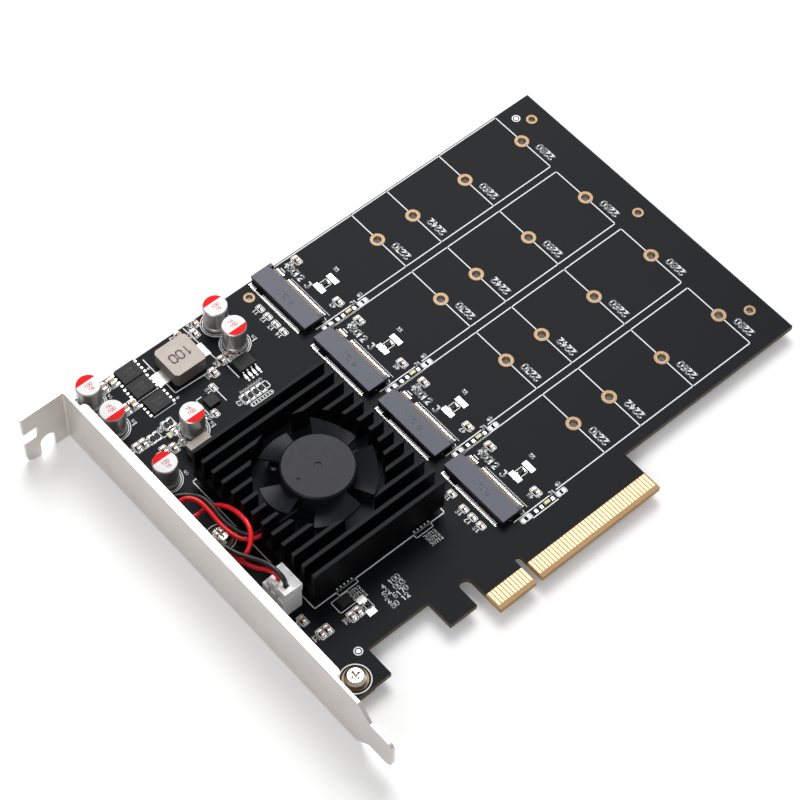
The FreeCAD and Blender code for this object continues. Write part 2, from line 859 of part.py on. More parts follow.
def add_ears(body):
    """Two ears carry the board from below and take its screws."""
    low = -D.board_thick - D.bracket_thick
    reach = D.bracket_screw_x + D.ear_reach
    ears = sketch_on(body, "ear_faces", "XY_Plane", low)
    spots = []
    for _, y in bracket_screw_places():
        below, above = y - D.ear_wide / 2, y + D.ear_wide / 2
        rectangle(ears, (BRACKET_OUTER + D.bracket_thick / 2, below), (reach, above))
        spots += [(reach, below), (reach, above)]
    pad(body, "ears", ears, D.bracket_thick)
    dress(body, "ear_corners", "Fillet", D.ear_corner_r, edges_at(body, 2, *spots))
    threads = sketch_on(body, "ear_threads", "XY_Plane", low)
    for x, y in bracket_screw_places():
        circle(threads, x, y, D.bracket_screw_r)
    pocket(body, "ear_thread_holes", threads, D.bracket_thick, reverse=True)


def make_screw(name, shank_r, shank_long, head_r, head_high):
    """A pan-head screw with a cross recess, its head on Z = 0 and its shank below."""
    body = new_body(name)
    profile = sketch_on(body, f"{name}_profile", "XZ_Plane")
    outline(profile, [
        (0, -shank_long),
        (shank_r, -shank_long),
        (shank_r, 0),
        (head_r, 0),
        (head_r, head_high * 0.55),
        (head_r * 0.72, head_high),
        (0, head_high),
    ])
    revolve(body, f"{name}_turned", profile)
    cross = sketch_on(body, f"{name}_cross", "XY_Plane", head_high)
    long_half, thin_half = head_r * 0.52, head_r * 0.13
    outline(cross, [
        (-long_half, -thin_half), (-thin_half, -thin_half), (-thin_half, -long_half), (thin_half, -long_half),
        (thin_half, -thin_half), (long_half, -thin_half), (long_half, thin_half), (thin_half, thin_half),
        (thin_half, long_half), (-thin_half, long_half), (-thin_half, thin_half), (-long_half, thin_half),
    ])
    pocket(body, f"{name}_recess", cross, head_high * 0.6)
    return body


def make_bracket_screws():
    reach = D.board_thick + D.bracket_thick + D.bracket_screw_spare
    head = (D.bracket_screw_head_r, D.bracket_screw_head)
    screw = make_screw("bracket_screw", D.bracket_screw_r, reach, *head)
    copies = []
    for index, (x, y) in enumerate(bracket_screw_places()):
        copies.append(link(f"bracket_screw_{index}", screw, (x, y, 0)))
    keep_all("bracket_screws", copies)


# M.2 connectors

def make_socket_body():
    """One M.2 socket: a block with a mouth towards +X, a key rib and two locating pegs."""
    body = new_body("m2_socket")
    lip_front = D.socket_front - D.socket_lip_set_back
    side = sketch_on(body, "socket_side", "XZ_Plane", -D.socket_shift)
    outline(side, [
        (D.socket_back, 0),
        (D.socket_front, 0),
        (D.socket_front, D.socket_lip),
        (lip_front, D.socket_lip + D.mouth_high),
        (lip_front, D.socket_high),
        (D.socket_back + D.socket_edge, D.socket_high),
        (D.socket_back, D.socket_high - D.socket_edge),
    ])
    pad(body, "socket_block", side, D.socket_long, both_ways=True)
    mouth = sketch_on(body, "socket_mouth", "XZ_Plane", -D.socket_shift)
    outline(mouth, [
        (D.mouth_back, D.socket_lip),
        (D.socket_front + 1, D.socket_lip),
        (D.socket_front + 1, D.socket_lip + D.mouth_high + D.mouth_flare),
        (lip_front, D.socket_lip + D.mouth_high + D.mouth_flare),
        (D.mouth_back, D.socket_lip + D.mouth_high),
    ])
    pocket(body, "socket_mouth_cut", mouth, D.socket_long - D.mouth_end_wall * 2, both_ways=True)
    rib = sketch_on(body, "socket_key", "XZ_Plane", -D.socket_key_y)
    seat = D.socket_key_seat
    rectangle(rib, (D.mouth_back - seat, D.socket_lip - seat), (lip_front, D.socket_lip + D.socket_key_high))
    pad(body, "socket_key_rib", rib, D.socket_key_wide, both_ways=True)
    pegs = sketch_on(body, "socket_pegs", "XY_Plane")
    for x, y in peg_places():
        polygon(pegs, x, y, D.socket_peg_r)
    pad(body, "socket_peg_pads", pegs, D.socket_peg_long, reverse=True)
    return body


def make_socket_contacts():
    """Solder tails along the back and the front of one socket, 0.5 mm apart."""
    upper = D.socket_shift + D.socket_long / 2
    lower = D.socket_shift - D.socket_long / 2
    back, front = D.socket_back - D.socket_pin_reach, D.socket_front
    rows = [
        (back, upper - D.back_pins_upper, SHORT_SOCKET_ROW),
        (back, lower + D.back_pins_lower, LONG_SOCKET_ROW),
        (front, upper - D.front_pins_upper, SHORT_SOCKET_ROW),
        (front, lower + D.front_pins_lower, LONG_SOCKET_ROW),
    ]
    spans = (D.socket_pin_reach, D.socket_pin_wide, D.socket_pin_thick)
    tails = []
    for x, start, count in rows:
        for index in range(count):
            y = start + D.socket_pin_pitch * index - D.socket_pin_wide / 2
            tails.append(box(f"socket_tail_{len(tails)}", (x, y, 0), spans))
    return compound("m2_socket_tails", tails)


def make_sockets():
    housing = make_socket_body()
    tails = make_socket_contacts()
    for index in range(SLOT_COUNT):
        name = f"m2_connector_{index + 1}"
        keep(compound(name, [housing]), name, (0, slot_y(index), 0))
        name = f"m2_contacts_{index + 1}"
        keep(compound(name, [tails]), name, (0, slot_y(index), 0))


# Heatsink and switch chip

def make_heatsink():
    body = new_body("heatsink")
    low = (SINK_X - D.sink_long / 2, SINK_Y - D.sink_wide / 2)
    high = (SINK_X + D.sink_long / 2, SINK_Y + D.sink_wide / 2)
    base = sketch_on(body, "sink_base", "XY_Plane", D.sink_under)
    rectangle(base, low, high)
    pad(body, "sink_plate", base, D.sink_floor - D.sink_under)
    fin = sketch_on(body, "sink_fin", "XY_Plane", D.sink_floor)
    rectangle(fin, low, (high[0], low[1] + D.fin_thick))
    first = pad(body, "sink_first_fin", fin, D.sink_top - D.sink_floor)
    rows_of(body, "sink_fins", [first], "Y_Axis", FIN_PITCH * (FIN_COUNT - 1), FIN_COUNT)
    recess = sketch_on(body, "sink_recess", "XY_Plane", D.sink_top)
    circle(recess, SINK_X, SINK_Y, D.recess_r)
    pocket(body, "sink_fan_well", recess, D.sink_top - D.sink_floor)
    posts = sketch_on(body, "sink_posts", "XY_Plane")
    for x, y in post_places():
        circle(posts, x, y, D.post_r)
    pad(body, "sink_post_pads", posts, D.sink_under)
    bores = sketch_on(body, "sink_post_bores", "XY_Plane")
    for x, y in post_places():
        circle(bores, x, y, D.post_screw_r)
    pocket(body, "sink_post_threads", bores, D.post_screw_depth, reverse=True)
    holes = sketch_on(body, "sink_fan_bores", "XY_Plane", D.sink_floor)
    for x, y in ear_places():
        circle(holes, SINK_X + x, SINK_Y + y, D.base_screw_r)
    pocket(body, "sink_fan_threads", holes, D.base_screw_depth)
    keep(body, "heatsink")


def make_heatsink_screws():
    """Four screws that come up through the board into the heatsink's posts."""
    reach = D.board_thick + D.post_screw_depth - D.thread_spare
    screw = make_screw("post_screw", D.post_screw_r, reach, D.post_screw_head_r, D.post_screw_head)
    copies = []
    for index, (x, y) in enumerate(post_places()):
        copy = link(f"post_screw_{index}", screw, (x, y, -D.board_thick))
        copy.Placement.Rotation = FreeCAD.Rotation(Vector(1, 0, 0), 180)
        copies.append(copy)
    keep_all("heatsink_screws", copies)


def make_switch_chip():
    body = new_body("switch_chip")
    half = D.chip_side / 2
    inner = half - D.chip_lid_inset
    layers = [("chip_carrier", half, ZERO, D.chip_base), ("chip_lid", inner, D.chip_base, D.chip_high)]
    for name, reach, low, high in layers:
        face = sketch_on(body, f"{name}_face", "XY_Plane", low)
        rectangle(face, (SINK_X - reach, SINK_Y - reach), (SINK_X + reach, SINK_Y + reach))
        pad(body, name, face, high - low)
    keep(body, "switch_chip")
    spans = (inner * 2, inner * 2, D.sink_under - D.chip_high)
    keep_all("thermal_pad", [box_about("thermal_sheet", (SINK_X, SINK_Y, D.chip_high), spans)])


# Fan: base, bearing, motor and rotor

FAN_PLACE = (SINK_X, SINK_Y, 0)
BASE_TOP = D.sink_floor + D.base_thick


def make_fan_base():
    """A plate with three screw ears, a bearing tube and a notch where the wires come in."""
    body = new_body("fan_base")
    plate = sketch_on(body, "base_plate", "XY_Plane", D.sink_floor)
    circle(plate, 0, 0, D.base_r)
    pad(body, "base_disc", plate, D.base_thick)
    ear = sketch_on(body, "base_ear", "XY_Plane", D.sink_floor)
    ear_x, ear_y = ear_places()[0]
    circle(ear, ear_x, ear_y, D.base_ear_r)
    first = pad(body, "base_first_ear", ear, D.base_thick)
    turned_copies(body, "base_ears", [first], EAR_COUNT)
    holes = sketch_on(body, "base_ear_holes", "XY_Plane", BASE_TOP)
    for x, y in ear_places():
        circle(holes, x, y, D.base_screw_r + D.screw_clearance)
    pocket(body, "base_ear_drilling", holes, D.base_thick)
    notch = sketch_on(body, "base_notch", "XY_Plane", BASE_TOP)
    room = D.wire_r + D.wire_clearance
    rectangle(notch, (-D.base_r - 1, D.red_lane - room), (-D.base_notch_end, D.black_lane + room))
    pocket(body, "base_wire_notch", notch, D.base_thick)
    tube = sketch_on(body, "base_tube", "XY_Plane", BASE_TOP)
    circle(tube, 0, 0, D.tube_r)
    pad(body, "base_bearing_tube", tube, D.tube_top - BASE_TOP)
    bore = sketch_on(body, "base_bore", "XY_Plane", D.tube_top)
    circle(bore, 0, 0, D.sleeve_r)
    pocket(body, "base_bearing_bore", bore, D.tube_top - BASE_TOP)
    keep(body, "fan_base", FAN_PLACE)


def make_fan_base_screws():
    reach = D.base_thick + D.base_screw_depth - D.thread_spare
    screw = make_screw("fan_screw", D.base_screw_r, reach, D.base_screw_head_r, D.base_screw_head)
    copies = []
    for index, (x, y) in enumerate(ear_places()):
        copies.append(link(f"fan_screw_{index}", screw, (SINK_X + x, SINK_Y + y, BASE_TOP)))
    keep_all("fan_base_screws", copies)


def ring(name, low, inner_r, outer_r, height):
    """An upright ring about the fan's axis."""
    outer = rod(f"{name}_outside", (0, 0, low), outer_r, height)
    inner = rod(f"{name}_bore", (0, 0, low - 1), inner_r, height + 2)
    return cut(f"{name}_ring", outer, inner)


def keep_at_fan(name, piece):
    keep(compound(name, [piece]), name, FAN_PLACE)


def make_fan_bearing():
    bore = D.shaft_r + D.shaft_clearance
    keep_at_fan("fan_bearing", ring("sleeve", BASE_TOP, bore, D.sleeve_r, D.tube_top - BASE_TOP))


def make_motor_board():
    size = (D.tube_r, D.motor_board_r, D.motor_board_thick)
    keep_at_fan("fan_motor_board", ring("motor_board", BASE_TOP, *size))


def turned_about_axis(piece, turn):
    """A copy of a piece, turned about the fan's axis."""
    copy = compound(f"{piece.Name}_turned", [piece])
    copy.Placement = FreeCAD.Placement(Vector(), FreeCAD.Rotation(Vector(0, 0, 1), turn))
    return copy


def bar_through_axis(name, long, wide, low, high, turn):
    bar = box(name, (-long / 2, -wide / 2, low), (long, wide, high - low))
    return turned_about_axis(bar, turn)


def make_stator():
    """A laminated core with four poles, and a coil round each arm."""
    high = D.stator_top - D.stator_low
    rim = ring("stator_rim", D.stator_low, D.stator_r - D.stator_ring, D.stator_r, high)
    gaps = []
    for turn in (45, 135):
        gap = (D.stator_r * 3, D.stator_slot, D.stator_low - 1, D.stator_top + 1)
        gaps.append(bar_through_axis(f"pole_gap_{turn}", *gap, turn))
    poles = cut("stator_poles", rim, fuse("pole_gaps", gaps))
    arms = []
    for turn in (0, 90):
        arm = (D.stator_r * 2 - D.stator_ring, D.stator_arm, D.stator_low, D.stator_top)
        arms.append(bar_through_axis(f"pole_arm_{turn}", *arm, turn))
    middle = rod("stator_middle", (0, 0, D.stator_low), D.stator_core_r, high)
    solid = fuse("stator_solid", [poles, middle] + arms)
    bore = rod("stator_bore", (0, 0, D.stator_low - 1), D.tube_r, high + 2)
    keep_at_fan("fan_stator_core", cut("stator_core", solid, bore))
    coils = []
    for turn in (0, 90, 180, 270):
        wound = box(f"coil_block_{turn}", (D.coil_in, -D.coil_half_wide, D.stator_low - D.coil_wrap),
                    (D.coil_out - D.coil_in, D.coil_half_wide * 2, high + D.coil_wrap * 2))
        inside = box(f"coil_core_{turn}", (D.coil_in - 1, -D.stator_arm / 2, D.stator_low),
                     (D.coil_out - D.coil_in + 2, D.stator_arm, high))
        coils.append(turned_about_axis(cut(f"coil_{turn}", wound, inside), turn))
    keep(compound("fan_windings", coils), "fan_windings", FAN_PLACE)


def make_rotor():
    """The hub cup with its blades, turned so that the first blade is centred on the local X axis."""
    body = new_body("fan_rotor")
    inner = D.hub_r - D.hub_wall
    ceiling = D.hub_top - D.hub_roof
    profile = sketch_on(body, "hub_profile", "XZ_Plane")
    outline(profile, [
        (0, ceiling),
        (D.shaft_r, ceiling),
        (D.shaft_r, D.hub_boss_low),
        (D.hub_boss_r, D.hub_boss_low),
        (D.hub_boss_r, ceiling),
        (inner, ceiling),
        (inner, D.hub_low),
        (D.hub_r, D.hub_low),
        (D.hub_r, D.hub_top - D.hub_edge),
        (D.hub_r - D.hub_edge, D.hub_top),
        (D.hub_dimple_r, D.hub_top),
        (D.hub_dimple_r, D.hub_top - D.hub_dimple),
        (0, D.hub_top - D.hub_dimple),
    ])
    revolve(body, "hub_cup", profile)
    mark = sketch_on(body, "hub_mark", "XY_Plane", D.hub_top)
    bearing = 180 - D.blade_turn
    circle(mark, D.hub_mark_out * cosine(bearing), D.hub_mark_out * sine(bearing), D.hub_mark_r)
    pocket(body, "hub_mark_dimple", mark, D.hub_dimple)
    blade = make_blade(body)
    turned_copies(body, "blades", [blade], BLADE_COUNT)
    trim = sketch_on(body, "blade_trim", "XZ_Plane")
    rectangle(trim, (D.blade_tip_r, D.blade_low - 2), (D.blade_tip_r * 1.5, D.blade_high + 2))
    revolve(body, "blade_tips", trim, cutting=True)
    keep(body, "fan_rotor", FAN_PLACE)
    bind(body, "Placement.Rotation.Angle", D.blade_turn)


def make_blade(body):
    """A cambered blade between a section in the hub's wall and one beyond the tip circle."""
    spread = sine(D.blade_half_turn) / cosine(D.blade_half_turn)
    sections = []
    for name, out in (("root", D.blade_root), ("tip", D.blade_tip_r + 0.2)):
        reach = out * spread
        section = sketch_on(body, f"blade_{name}", "YZ_Plane", out)
        outline(section, [
            (-reach, D.blade_low, D.blade_camber),
            (reach, D.blade_high - D.blade_thick),
            (reach, D.blade_high, -D.blade_camber),
            (-reach, D.blade_low + D.blade_thick),
        ])
        sections.append(section)
    return loft(body, "blade", sections)


def make_rotor_inserts():
    """The magnet ring in the hub's cup and the shaft in its boss."""
    outer = D.hub_r - D.hub_wall
    high = D.magnet_top - D.magnet_low
    keep_at_fan("fan_magnet", ring("magnet", D.magnet_low, outer - D.magnet_wall, outer, high))
    top = D.hub_top - D.hub_roof
    keep_at_fan("fan_shaft", rod("shaft", (0, 0, D.shaft_low), D.shaft_r, top - D.shaft_low))


# Fan lead: header, plug and the two wires

# The routes between the fan's base and the plug.
RED_ROUTE = [
    (-42.6, 21.74, 6.75), (-47.2, 21.68, 6.7), (-51.4, 21.75, 6.7), (-54.3, 23.3, 6.7), (-55.5, 26.6, 6.9),
    (-56.0, 30.3, 7.3), (-55.8, 34.0, 8.0), (-56.2, 38.0, 8.7), (-58.4, 40.6, 8.5), (-61.2, 40.2, 7.6),
    (-61.4, 37.4, 6.6), (-58.8, 35.9, 6.0), (-55.6, 36.2, 6.0), (-52.9, 34.6, 7.1), (-51.9, 31.0, 9.3),
    (-51.8, 27.0, 10.8), (-52.4, 22.9, 11.4), (-54.6, 19.9, 10.4), (-57.2, 18.9, 8.6), (-60.2, 19.3, 7.1),
    (-62.0, 21.9, 6.5), (-62.3, 25.0, 6.3), (-62.3, 27.76, 6.35), (-62.1, 28.55, 7.14), (-61.8, 28.55, 8.26),
    (-61.5, 27.76, 9.05), (-61.0, 25.4, 9.15), (-60.3, 22.4, 9.1), (-59.5, 19.4, 9.0), (-58.6, 16.7, 9.2),
    (-57.5, 14.1, 9.5), (-56.45, 12.3, 10.3), (-55.7, 10.2, 10.8), (-55.35, 9.2, 9.9),
]
BLACK_ROUTE = [
    (-42.8, 23.0, 6.75), (-47.4, 22.95, 6.7), (-51.7, 23.0, 6.7), (-53.2, 24.7, 6.75), (-54.3, 27.7, 6.9),
    (-54.8, 31.0, 7.4), (-54.5, 34.6, 8.1), (-54.7, 38.2, 7.9), (-56.6, 41.2, 7.2), (-59.6, 42.9, 7.6),
    (-61.9, 41.3, 9.0), (-62.4, 38.0, 10.4), (-62.2, 34.0, 11.1), (-62.0, 29.8, 11.2), (-61.2, 26.0, 10.9),
    (-60.0, 22.8, 10.6), (-59.0, 19.6, 10.5), (-57.3, 16.3, 11.0), (-55.9, 13.0, 11.8), (-55.5, 10.0, 12.3),
    (-55.4, 7.8, 12.0), (-55.35, 6.7, 10.9),
]


def wire_tube(name, points, radius):
    """A round wire along straight runs that are joined by tangent arcs."""
    spots = [Vector(*point) for point in points]
    edges = []
    last = spots[0]
    radii = []
    for before, corner, after in zip(spots, spots[1:], spots[2:]):
        back, ahead = before - corner, after - corner
        half_turn = (math.pi - back.getAngle(ahead)) / 2
        reach = 0.45 * min(back.Length, ahead.Length)
        radii.append(reach / math.tan(half_turn))
        back.normalize()
        ahead.normalize()
        start, end = corner + back * reach, corner + ahead * reach
        inward = (back + ahead).normalize()
        middle = corner + inward * (radii[-1] / math.cos(half_turn) - radii[-1])
        edges += [Part.LineSegment(last, start).toShape(), Part.Arc(start, middle, end).toShape()]
        last = end
    edges.append(Part.LineSegment(last, spots[-1]).toShape())
    path = Part.Wire(edges)
    ring_wire = Part.Wire([Part.Circle(spots[0], spots[1] - spots[0], radius).toShape()])
    tube = path.makePipeShell([ring_wire], True, False)
    print(f"{name}: length {path.Length:.1f}, radii {min(radii):.2f} to {max(radii):.2f},",
          f"volume {tube.Volume / (math.pi * radius ** 2 * path.Length):.4f} of section x length")
    return tube


def make_wires():
    """Both wires run from the notch in the fan's base, through a fin gap, to the plug."""
    places = dict(zip(("black", "red"), pin_places()))
    for name, lane, route in (("red", D.red_lane, RED_ROUTE), ("black", D.black_lane, BLACK_ROUTE)):
        start = (number(SINK_X - D.base_notch_end), number(SINK_Y + lane), number(D.wire_start))
        end = (*(number(size) for size in places[name]), number(D.plug_entry))
        wire = DOC.addObject("Part::Feature", f"fan_wire_{name}")
        wire.Shape = wire_tube(name, [start] + route + [end], number(D.wire_r))
        keep(wire, f"fan_wire_{name}")


def make_header():
    """An open-topped white housing with a floor, round two square pins."""
    body = new_body("fan_header")
    half_long, half_wide = D.header_long / 2, D.header_wide / 2
    face = sketch_on(body, "header_face", "XY_Plane")
    left, right = D.header_x - half_long, D.header_x + half_long
    lower, upper = D.header_y - half_wide, D.header_y + half_wide
    rectangle(face, (left, lower), (right, upper))
    pad(body, "header_block", face, D.header_high)
    hollow = sketch_on(body, "header_hollow", "XY_Plane", D.header_high)
    wall = D.header_wall
    rectangle(hollow, (left + wall, lower + wall), (right - wall, upper - wall))
    pocket(body, "header_cavity", hollow, D.header_high - D.header_floor)
    notches = sketch_on(body, "header_notches", "XY_Plane", D.header_high)
    for _, y in pin_places():
        below, above = y - D.header_notch / 2, y + D.header_notch / 2
        rectangle(notches, (left - wall, below), (left + wall, above))
    pocket(body, "header_wall_notches", notches, D.header_notch_depth)
    holes = sketch_on(body, "header_holes", "XY_Plane", D.header_floor)
    half = D.pin_side / 2
    for x, y in pin_places():
        rectangle(holes, (x - half, y - half), (x + half, y + half))
    pocket(body, "header_pin_holes", holes, D.header_floor)
    keep(body, "fan_header")
    low = -D.board_thick - D.pin_tail
    pins = []
    for index, (x, y) in enumerate(pin_places()):
        pins.append(box_about(f"header_pin_{index}", (x, y, low), (D.pin_side, D.pin_side, D.pin_top - low)))
    keep_all("header_pins", pins)


def make_plug():
    """The plug fills the header's cavity; its raised back half lies over the header's far wall."""
    body = new_body("fan_plug")
    half_long = D.header_long / 2 - D.header_wall - D.plug_fit
    half_wide = D.header_wide / 2 - D.header_wall - D.plug_fit
    low = D.header_floor + D.plug_fit
    face = sketch_on(body, "plug_face", "XY_Plane", low)
    back = D.header_x + half_long
    rectangle(face, (D.header_x - half_long, D.header_y - half_wide), (back, D.header_y + half_wide))
    pad(body, "plug_block", face, D.plug_entry - low)
    over = sketch_on(body, "plug_over_face", "XY_Plane", D.header_high + D.plug_fit)
    front = D.header_x + D.wire_r + D.plug_step
    half_wide = D.header_wide / 2
    rectangle(over, (front, D.header_y - half_wide), (back + D.plug_over, D.header_y + half_wide))
    pad(body, "plug_back", over, D.plug_top - D.header_high - D.plug_fit)
    holes = sketch_on(body, "plug_holes", "XY_Plane", low)
    half = D.pin_side / 2 + D.plug_fit
    for x, y in pin_places():
        rectangle(holes, (x - half, y - half), (x + half, y + half))
    pocket(body, "plug_sockets", holes, D.pin_top + D.plug_fit - low, reverse=True)
    keep(body, "fan_plug")


# Capacitor cans, coils and chips

def make_can():
    """An aluminium can with a bevelled top edge and a rolled groove above its foot."""
    body = new_body("capacitor_can")
    neck = D.can_r - D.can_groove
    groove = D.can_foot + D.can_groove_low + D.can_groove_half
    profile = sketch_on(body, "can_profile", "XZ_Plane")
    outline(profile, [
        (0, D.can_foot),
        (D.can_r, D.can_foot),
        (D.can_r, groove - D.can_groove_half),
        (neck, groove),
        (D.can_r, groove + D.can_groove_half),
        (D.can_r, D.can_high - D.can_edge),
        (D.can_r - D.can_edge, D.can_high),
        (0, D.can_high),
    ])
    revolve(body, "can_turned", profile)
    return body


def make_cans():
    tail = -D.board_thick - D.lead_tail
    pair = []
    for side, offset in enumerate(CAN_LEAD_OFFSETS):
        pair.append(prism(f"can_lead_{side}", (0, offset, tail), D.can_lead_r, -tail))
    pieces = [
        ("capacitor_cans", make_can()),
        ("capacitor_seals", rod("can_seal", (0, 0, 0), D.can_r - D.can_seal_inset, D.can_foot)),
        ("capacitor_leads", compound("can_lead_pair", pair)),
    ]
    for name, piece in pieces:
        keep_all(name, [link(f"{name}_{index}", piece, (x, y, 0)) for index, (x, y) in enumerate(CAN_PLACES)])


def make_joint(name, foot_r, end_r):
    """Solder that rises from the board's lower face, its foot on Z = 0, to a narrow end below."""
    body = new_body(name)
    foot = sketch_on(body, f"{name}_foot", "XY_Plane")
    polygon(foot, ZERO, ZERO, foot_r)
    end = sketch_on(body, f"{name}_end", "XY_Plane", -D.joint_high)
    polygon(end, ZERO, ZERO, end_r)
    loft(body, f"{name}_cone", [foot, end])
    return body


def make_solder_joints():
    """Solder round the tails that come through the board."""
    round_joint = make_joint("lead_joint", D.joint_r, D.joint_end_r)
    bore = sketch_on(round_joint, "lead_joint_bore", "XY_Plane")
    polygon(bore, ZERO, ZERO, D.can_lead_r)
    pocket(round_joint, "lead_joint_hole", bore, D.joint_high)
    square_joint = make_joint("pin_joint", D.pin_joint_r, D.pin_joint_end_r)
    bore = sketch_on(square_joint, "pin_joint_bore", "XY_Plane")
    half = D.pin_side / 2
    rectangle(bore, (-half, -half), (half, half))
    pocket(square_joint, "pin_joint_hole", bore, D.joint_high)
    spots = [(round_joint, x, y + offset) for x, y in CAN_PLACES for offset in CAN_LEAD_OFFSETS]
    spots += [(square_joint, x, y) for x, y in pin_places()]
    joints = []
    for index, (joint, x, y) in enumerate(spots):
        joints.append(link(f"solder_joint_{index}", joint, (x, y, -D.board_thick)))
    keep_all("solder_joints", joints)


def make_coils():
    """The moulded power inductor with its two feet, and a smaller one beside the heatsink."""
    body = new_body("power_inductor")
    half = D.coil_box_side / 2
    x, y = D.coil_box_x, D.coil_box_y
    face = sketch_on(body, "coil_face", "XY_Plane")
    rectangle(face, (x - half, y - half), (x + half, y + half))
    pad(body, "coil_block", face, D.coil_box_high)
    corners = [(x + half * right, y + half * up) for right in (-1, 1) for up in (-1, 1)]
    dress(body, "coil_corners", "Chamfer", D.coil_box_edge, edges_at(body, 2, *corners))
    keep(body, "power_inductor")
    spans = (D.coil_foot_reach, D.coil_foot_wide, D.coil_foot_thick)
    feet = [
        box("coil_foot_left", (x - half - D.coil_foot_reach, y - D.coil_foot_wide / 2, 0), spans),
        box("coil_foot_right", (x + half, y - D.coil_foot_wide / 2, 0), spans),
    ]
    keep_all("inductor_terminals", feet)
    side = D.small_coil_side
    place = (D.small_coil_x, D.sink_upper + D.small_coil_gap + side / 2, 0)
    keep_all("small_inductor", [box_about("small_coil", place, (side, side, D.small_coil_high))])


def make_driver():
    """An eight-lead chip: its body, and bent leads on both long sides."""
    body = new_body("driver_chip")
    x, y = D.driver_x, D.driver_y
    face = sketch_on(body, "driver_face", "XY_Plane", D.driver_low)
    half_long, half_wide = D.driver_long / 2, D.driver_wide / 2
    rectangle(face, (x - half_long, y - half_wide), (x + half_long, y + half_wide))
    pad(body, "driver_block", face, D.driver_high - D.driver_low)
    keep(body, "driver_chip")
    leads = []
    knee = D.driver_high / 2
    thick, reach = D.driver_pin_thick, D.driver_pin_reach
    in_row = DRIVER_LEADS // 2
    for index in range(DRIVER_LEADS):
        turn = 1 if index < in_row else -1
        column = index % in_row - (in_row - 1) / 2
        lead = new_body(f"driver_lead_{index}")
        side = sketch_on(lead, f"driver_lead_side_{index}", "YZ_Plane")
        start = y + half_wide * turn
        outline(side, [
            (start, knee),
            (start + reach * 0.45 * turn, knee),
            (start + reach * 0.45 * turn, thick),
            (start + reach * turn, thick),
            (start + reach * turn, 0),
            (start + (reach * 0.45 - thick) * turn, 0),
            (start + (reach * 0.45 - thick) * turn, knee - thick),
            (start, knee - thick),
        ])
        pad(lead, f"driver_lead_pad_{index}", side, D.driver_pin_wide, both_ways=True)
        bind(lead, "Placement.Base.x", x + D.driver_pin_pitch * column)
        leads.append(lead)
    keep_all("driver_chip_leads", leads)


def make_flat_chips():
    spans = (D.fet_long, D.fet_wide, D.fet_high)
    keep_all("mosfets", [box_about(f"mosfet_{n}", (x, y, 0), spans) for n, (x, y) in enumerate(FET_PLACES)])
    controller = (D.controller_long, D.controller_wide, D.controller_high)
    clock = (D.clock_long, D.clock_wide, D.clock_high)
    clock_y = D.sink_upper - D.sink_wide - D.clock_gap - D.clock_wide / 2
    keep_all("small_chips", [
        box_about("controller_chip", (D.controller_x, D.controller_y, 0), controller),
        box_about("clock_chip", (D.clock_x, clock_y, 0), clock),
    ])


def make_ceramics():
    """Ceramic bodies between two metal ends."""
    bodies, ends = [], []
    places = []
    for (wide, long, high), spots in CAP_PLACES:
        places += [(x, y, wide, long, high) for x, y in spots]
    for slot in range(SLOT_COUNT):
        wide, long, high = MEDIUM
        places += [(x, y + slot_y(slot), wide, long, high) for x, y in SLOT_CAP_PLACES]
    for index, (x, y, wide, long, high) in enumerate(places):
        end = METAL_END * long
        inner = long - end * 2
        bodies.append(box_about(f"ceramic_{index}", (x, y, 0), (wide, inner, high)))
        for side in (-1, 1):
            centre = (x, y + (inner + end) / 2 * side, 0)
            ends.append(box_about(f"ceramic_end_{index}_{side + 1}", centre, (wide, end, high)))
    keep_all("ceramic_capacitors", bodies)
    keep_all("ceramic_terminals", ends)


def make_resistors_and_leds():
    upright = (D.resistor_wide, D.resistor_long)
    lying = (D.resistor_long, D.resistor_wide)
    resistors = []
    for index, (x, y) in enumerate(RESISTOR_PLACES):
        resistors.append(box_about(f"resistor_{index}", (x, y, 0), (*upright, D.resistor_high)))
    leds = [box_about("power_led", (*POWER_LED_PLACE, 0), (*upright, D.led_high))]
    for slot in range(SLOT_COUNT):
        x, y = SLOT_RESISTOR_PLACE
        place = (x, y + slot_y(slot), 0)
        resistors.append(box_about(f"slot_resistor_{slot}", place, (*lying, D.resistor_high)))
        x, y = SLOT_LED_PLACE
        leds.append(box_about(f"slot_led_{slot}", (x, y + slot_y(slot), 0), (*lying, D.led_high)))
    keep_all("resistors", resistors)
    keep_all("leds", leds)


# Assembly, checks and files

def check_document():
    DOC.recompute()
    for obj in DOC.Objects:
        if "Invalid" in obj.State or "Error" in obj.State:
            raise RuntimeError(f"{obj.Name} failed: {obj.getStatusString()}")
    for obj in NODES:
        if obj.Shape.isNull() or not obj.Shape.isValid():
            raise RuntimeError(f"{obj.Label} has no valid shape")
        if not obj.Shape.Solids:
            raise RuntimeError(f"{obj.Label} has no solid")


def write_files():
    os.makedirs("parts", exist_ok=True)
    for obj in NODES:
        obj.Shape.exportStep(f"parts/{obj.Label}.step")


make_pcb()
make_edge_contacts()
make_bracket()
make_bracket_screws()
make_sockets()
make_heatsink()
make_heatsink_screws()
make_switch_chip()
make_fan_base()
make_fan_base_screws()
make_fan_bearing()
make_motor_board()
make_stator()
make_rotor()
make_rotor_inserts()
make_header()
make_plug()
make_wires()
make_cans()
make_solder_joints()
make_coils()
make_driver()
make_flat_chips()
make_ceramics()
make_resistors_and_leds()
check_document()
write_files()
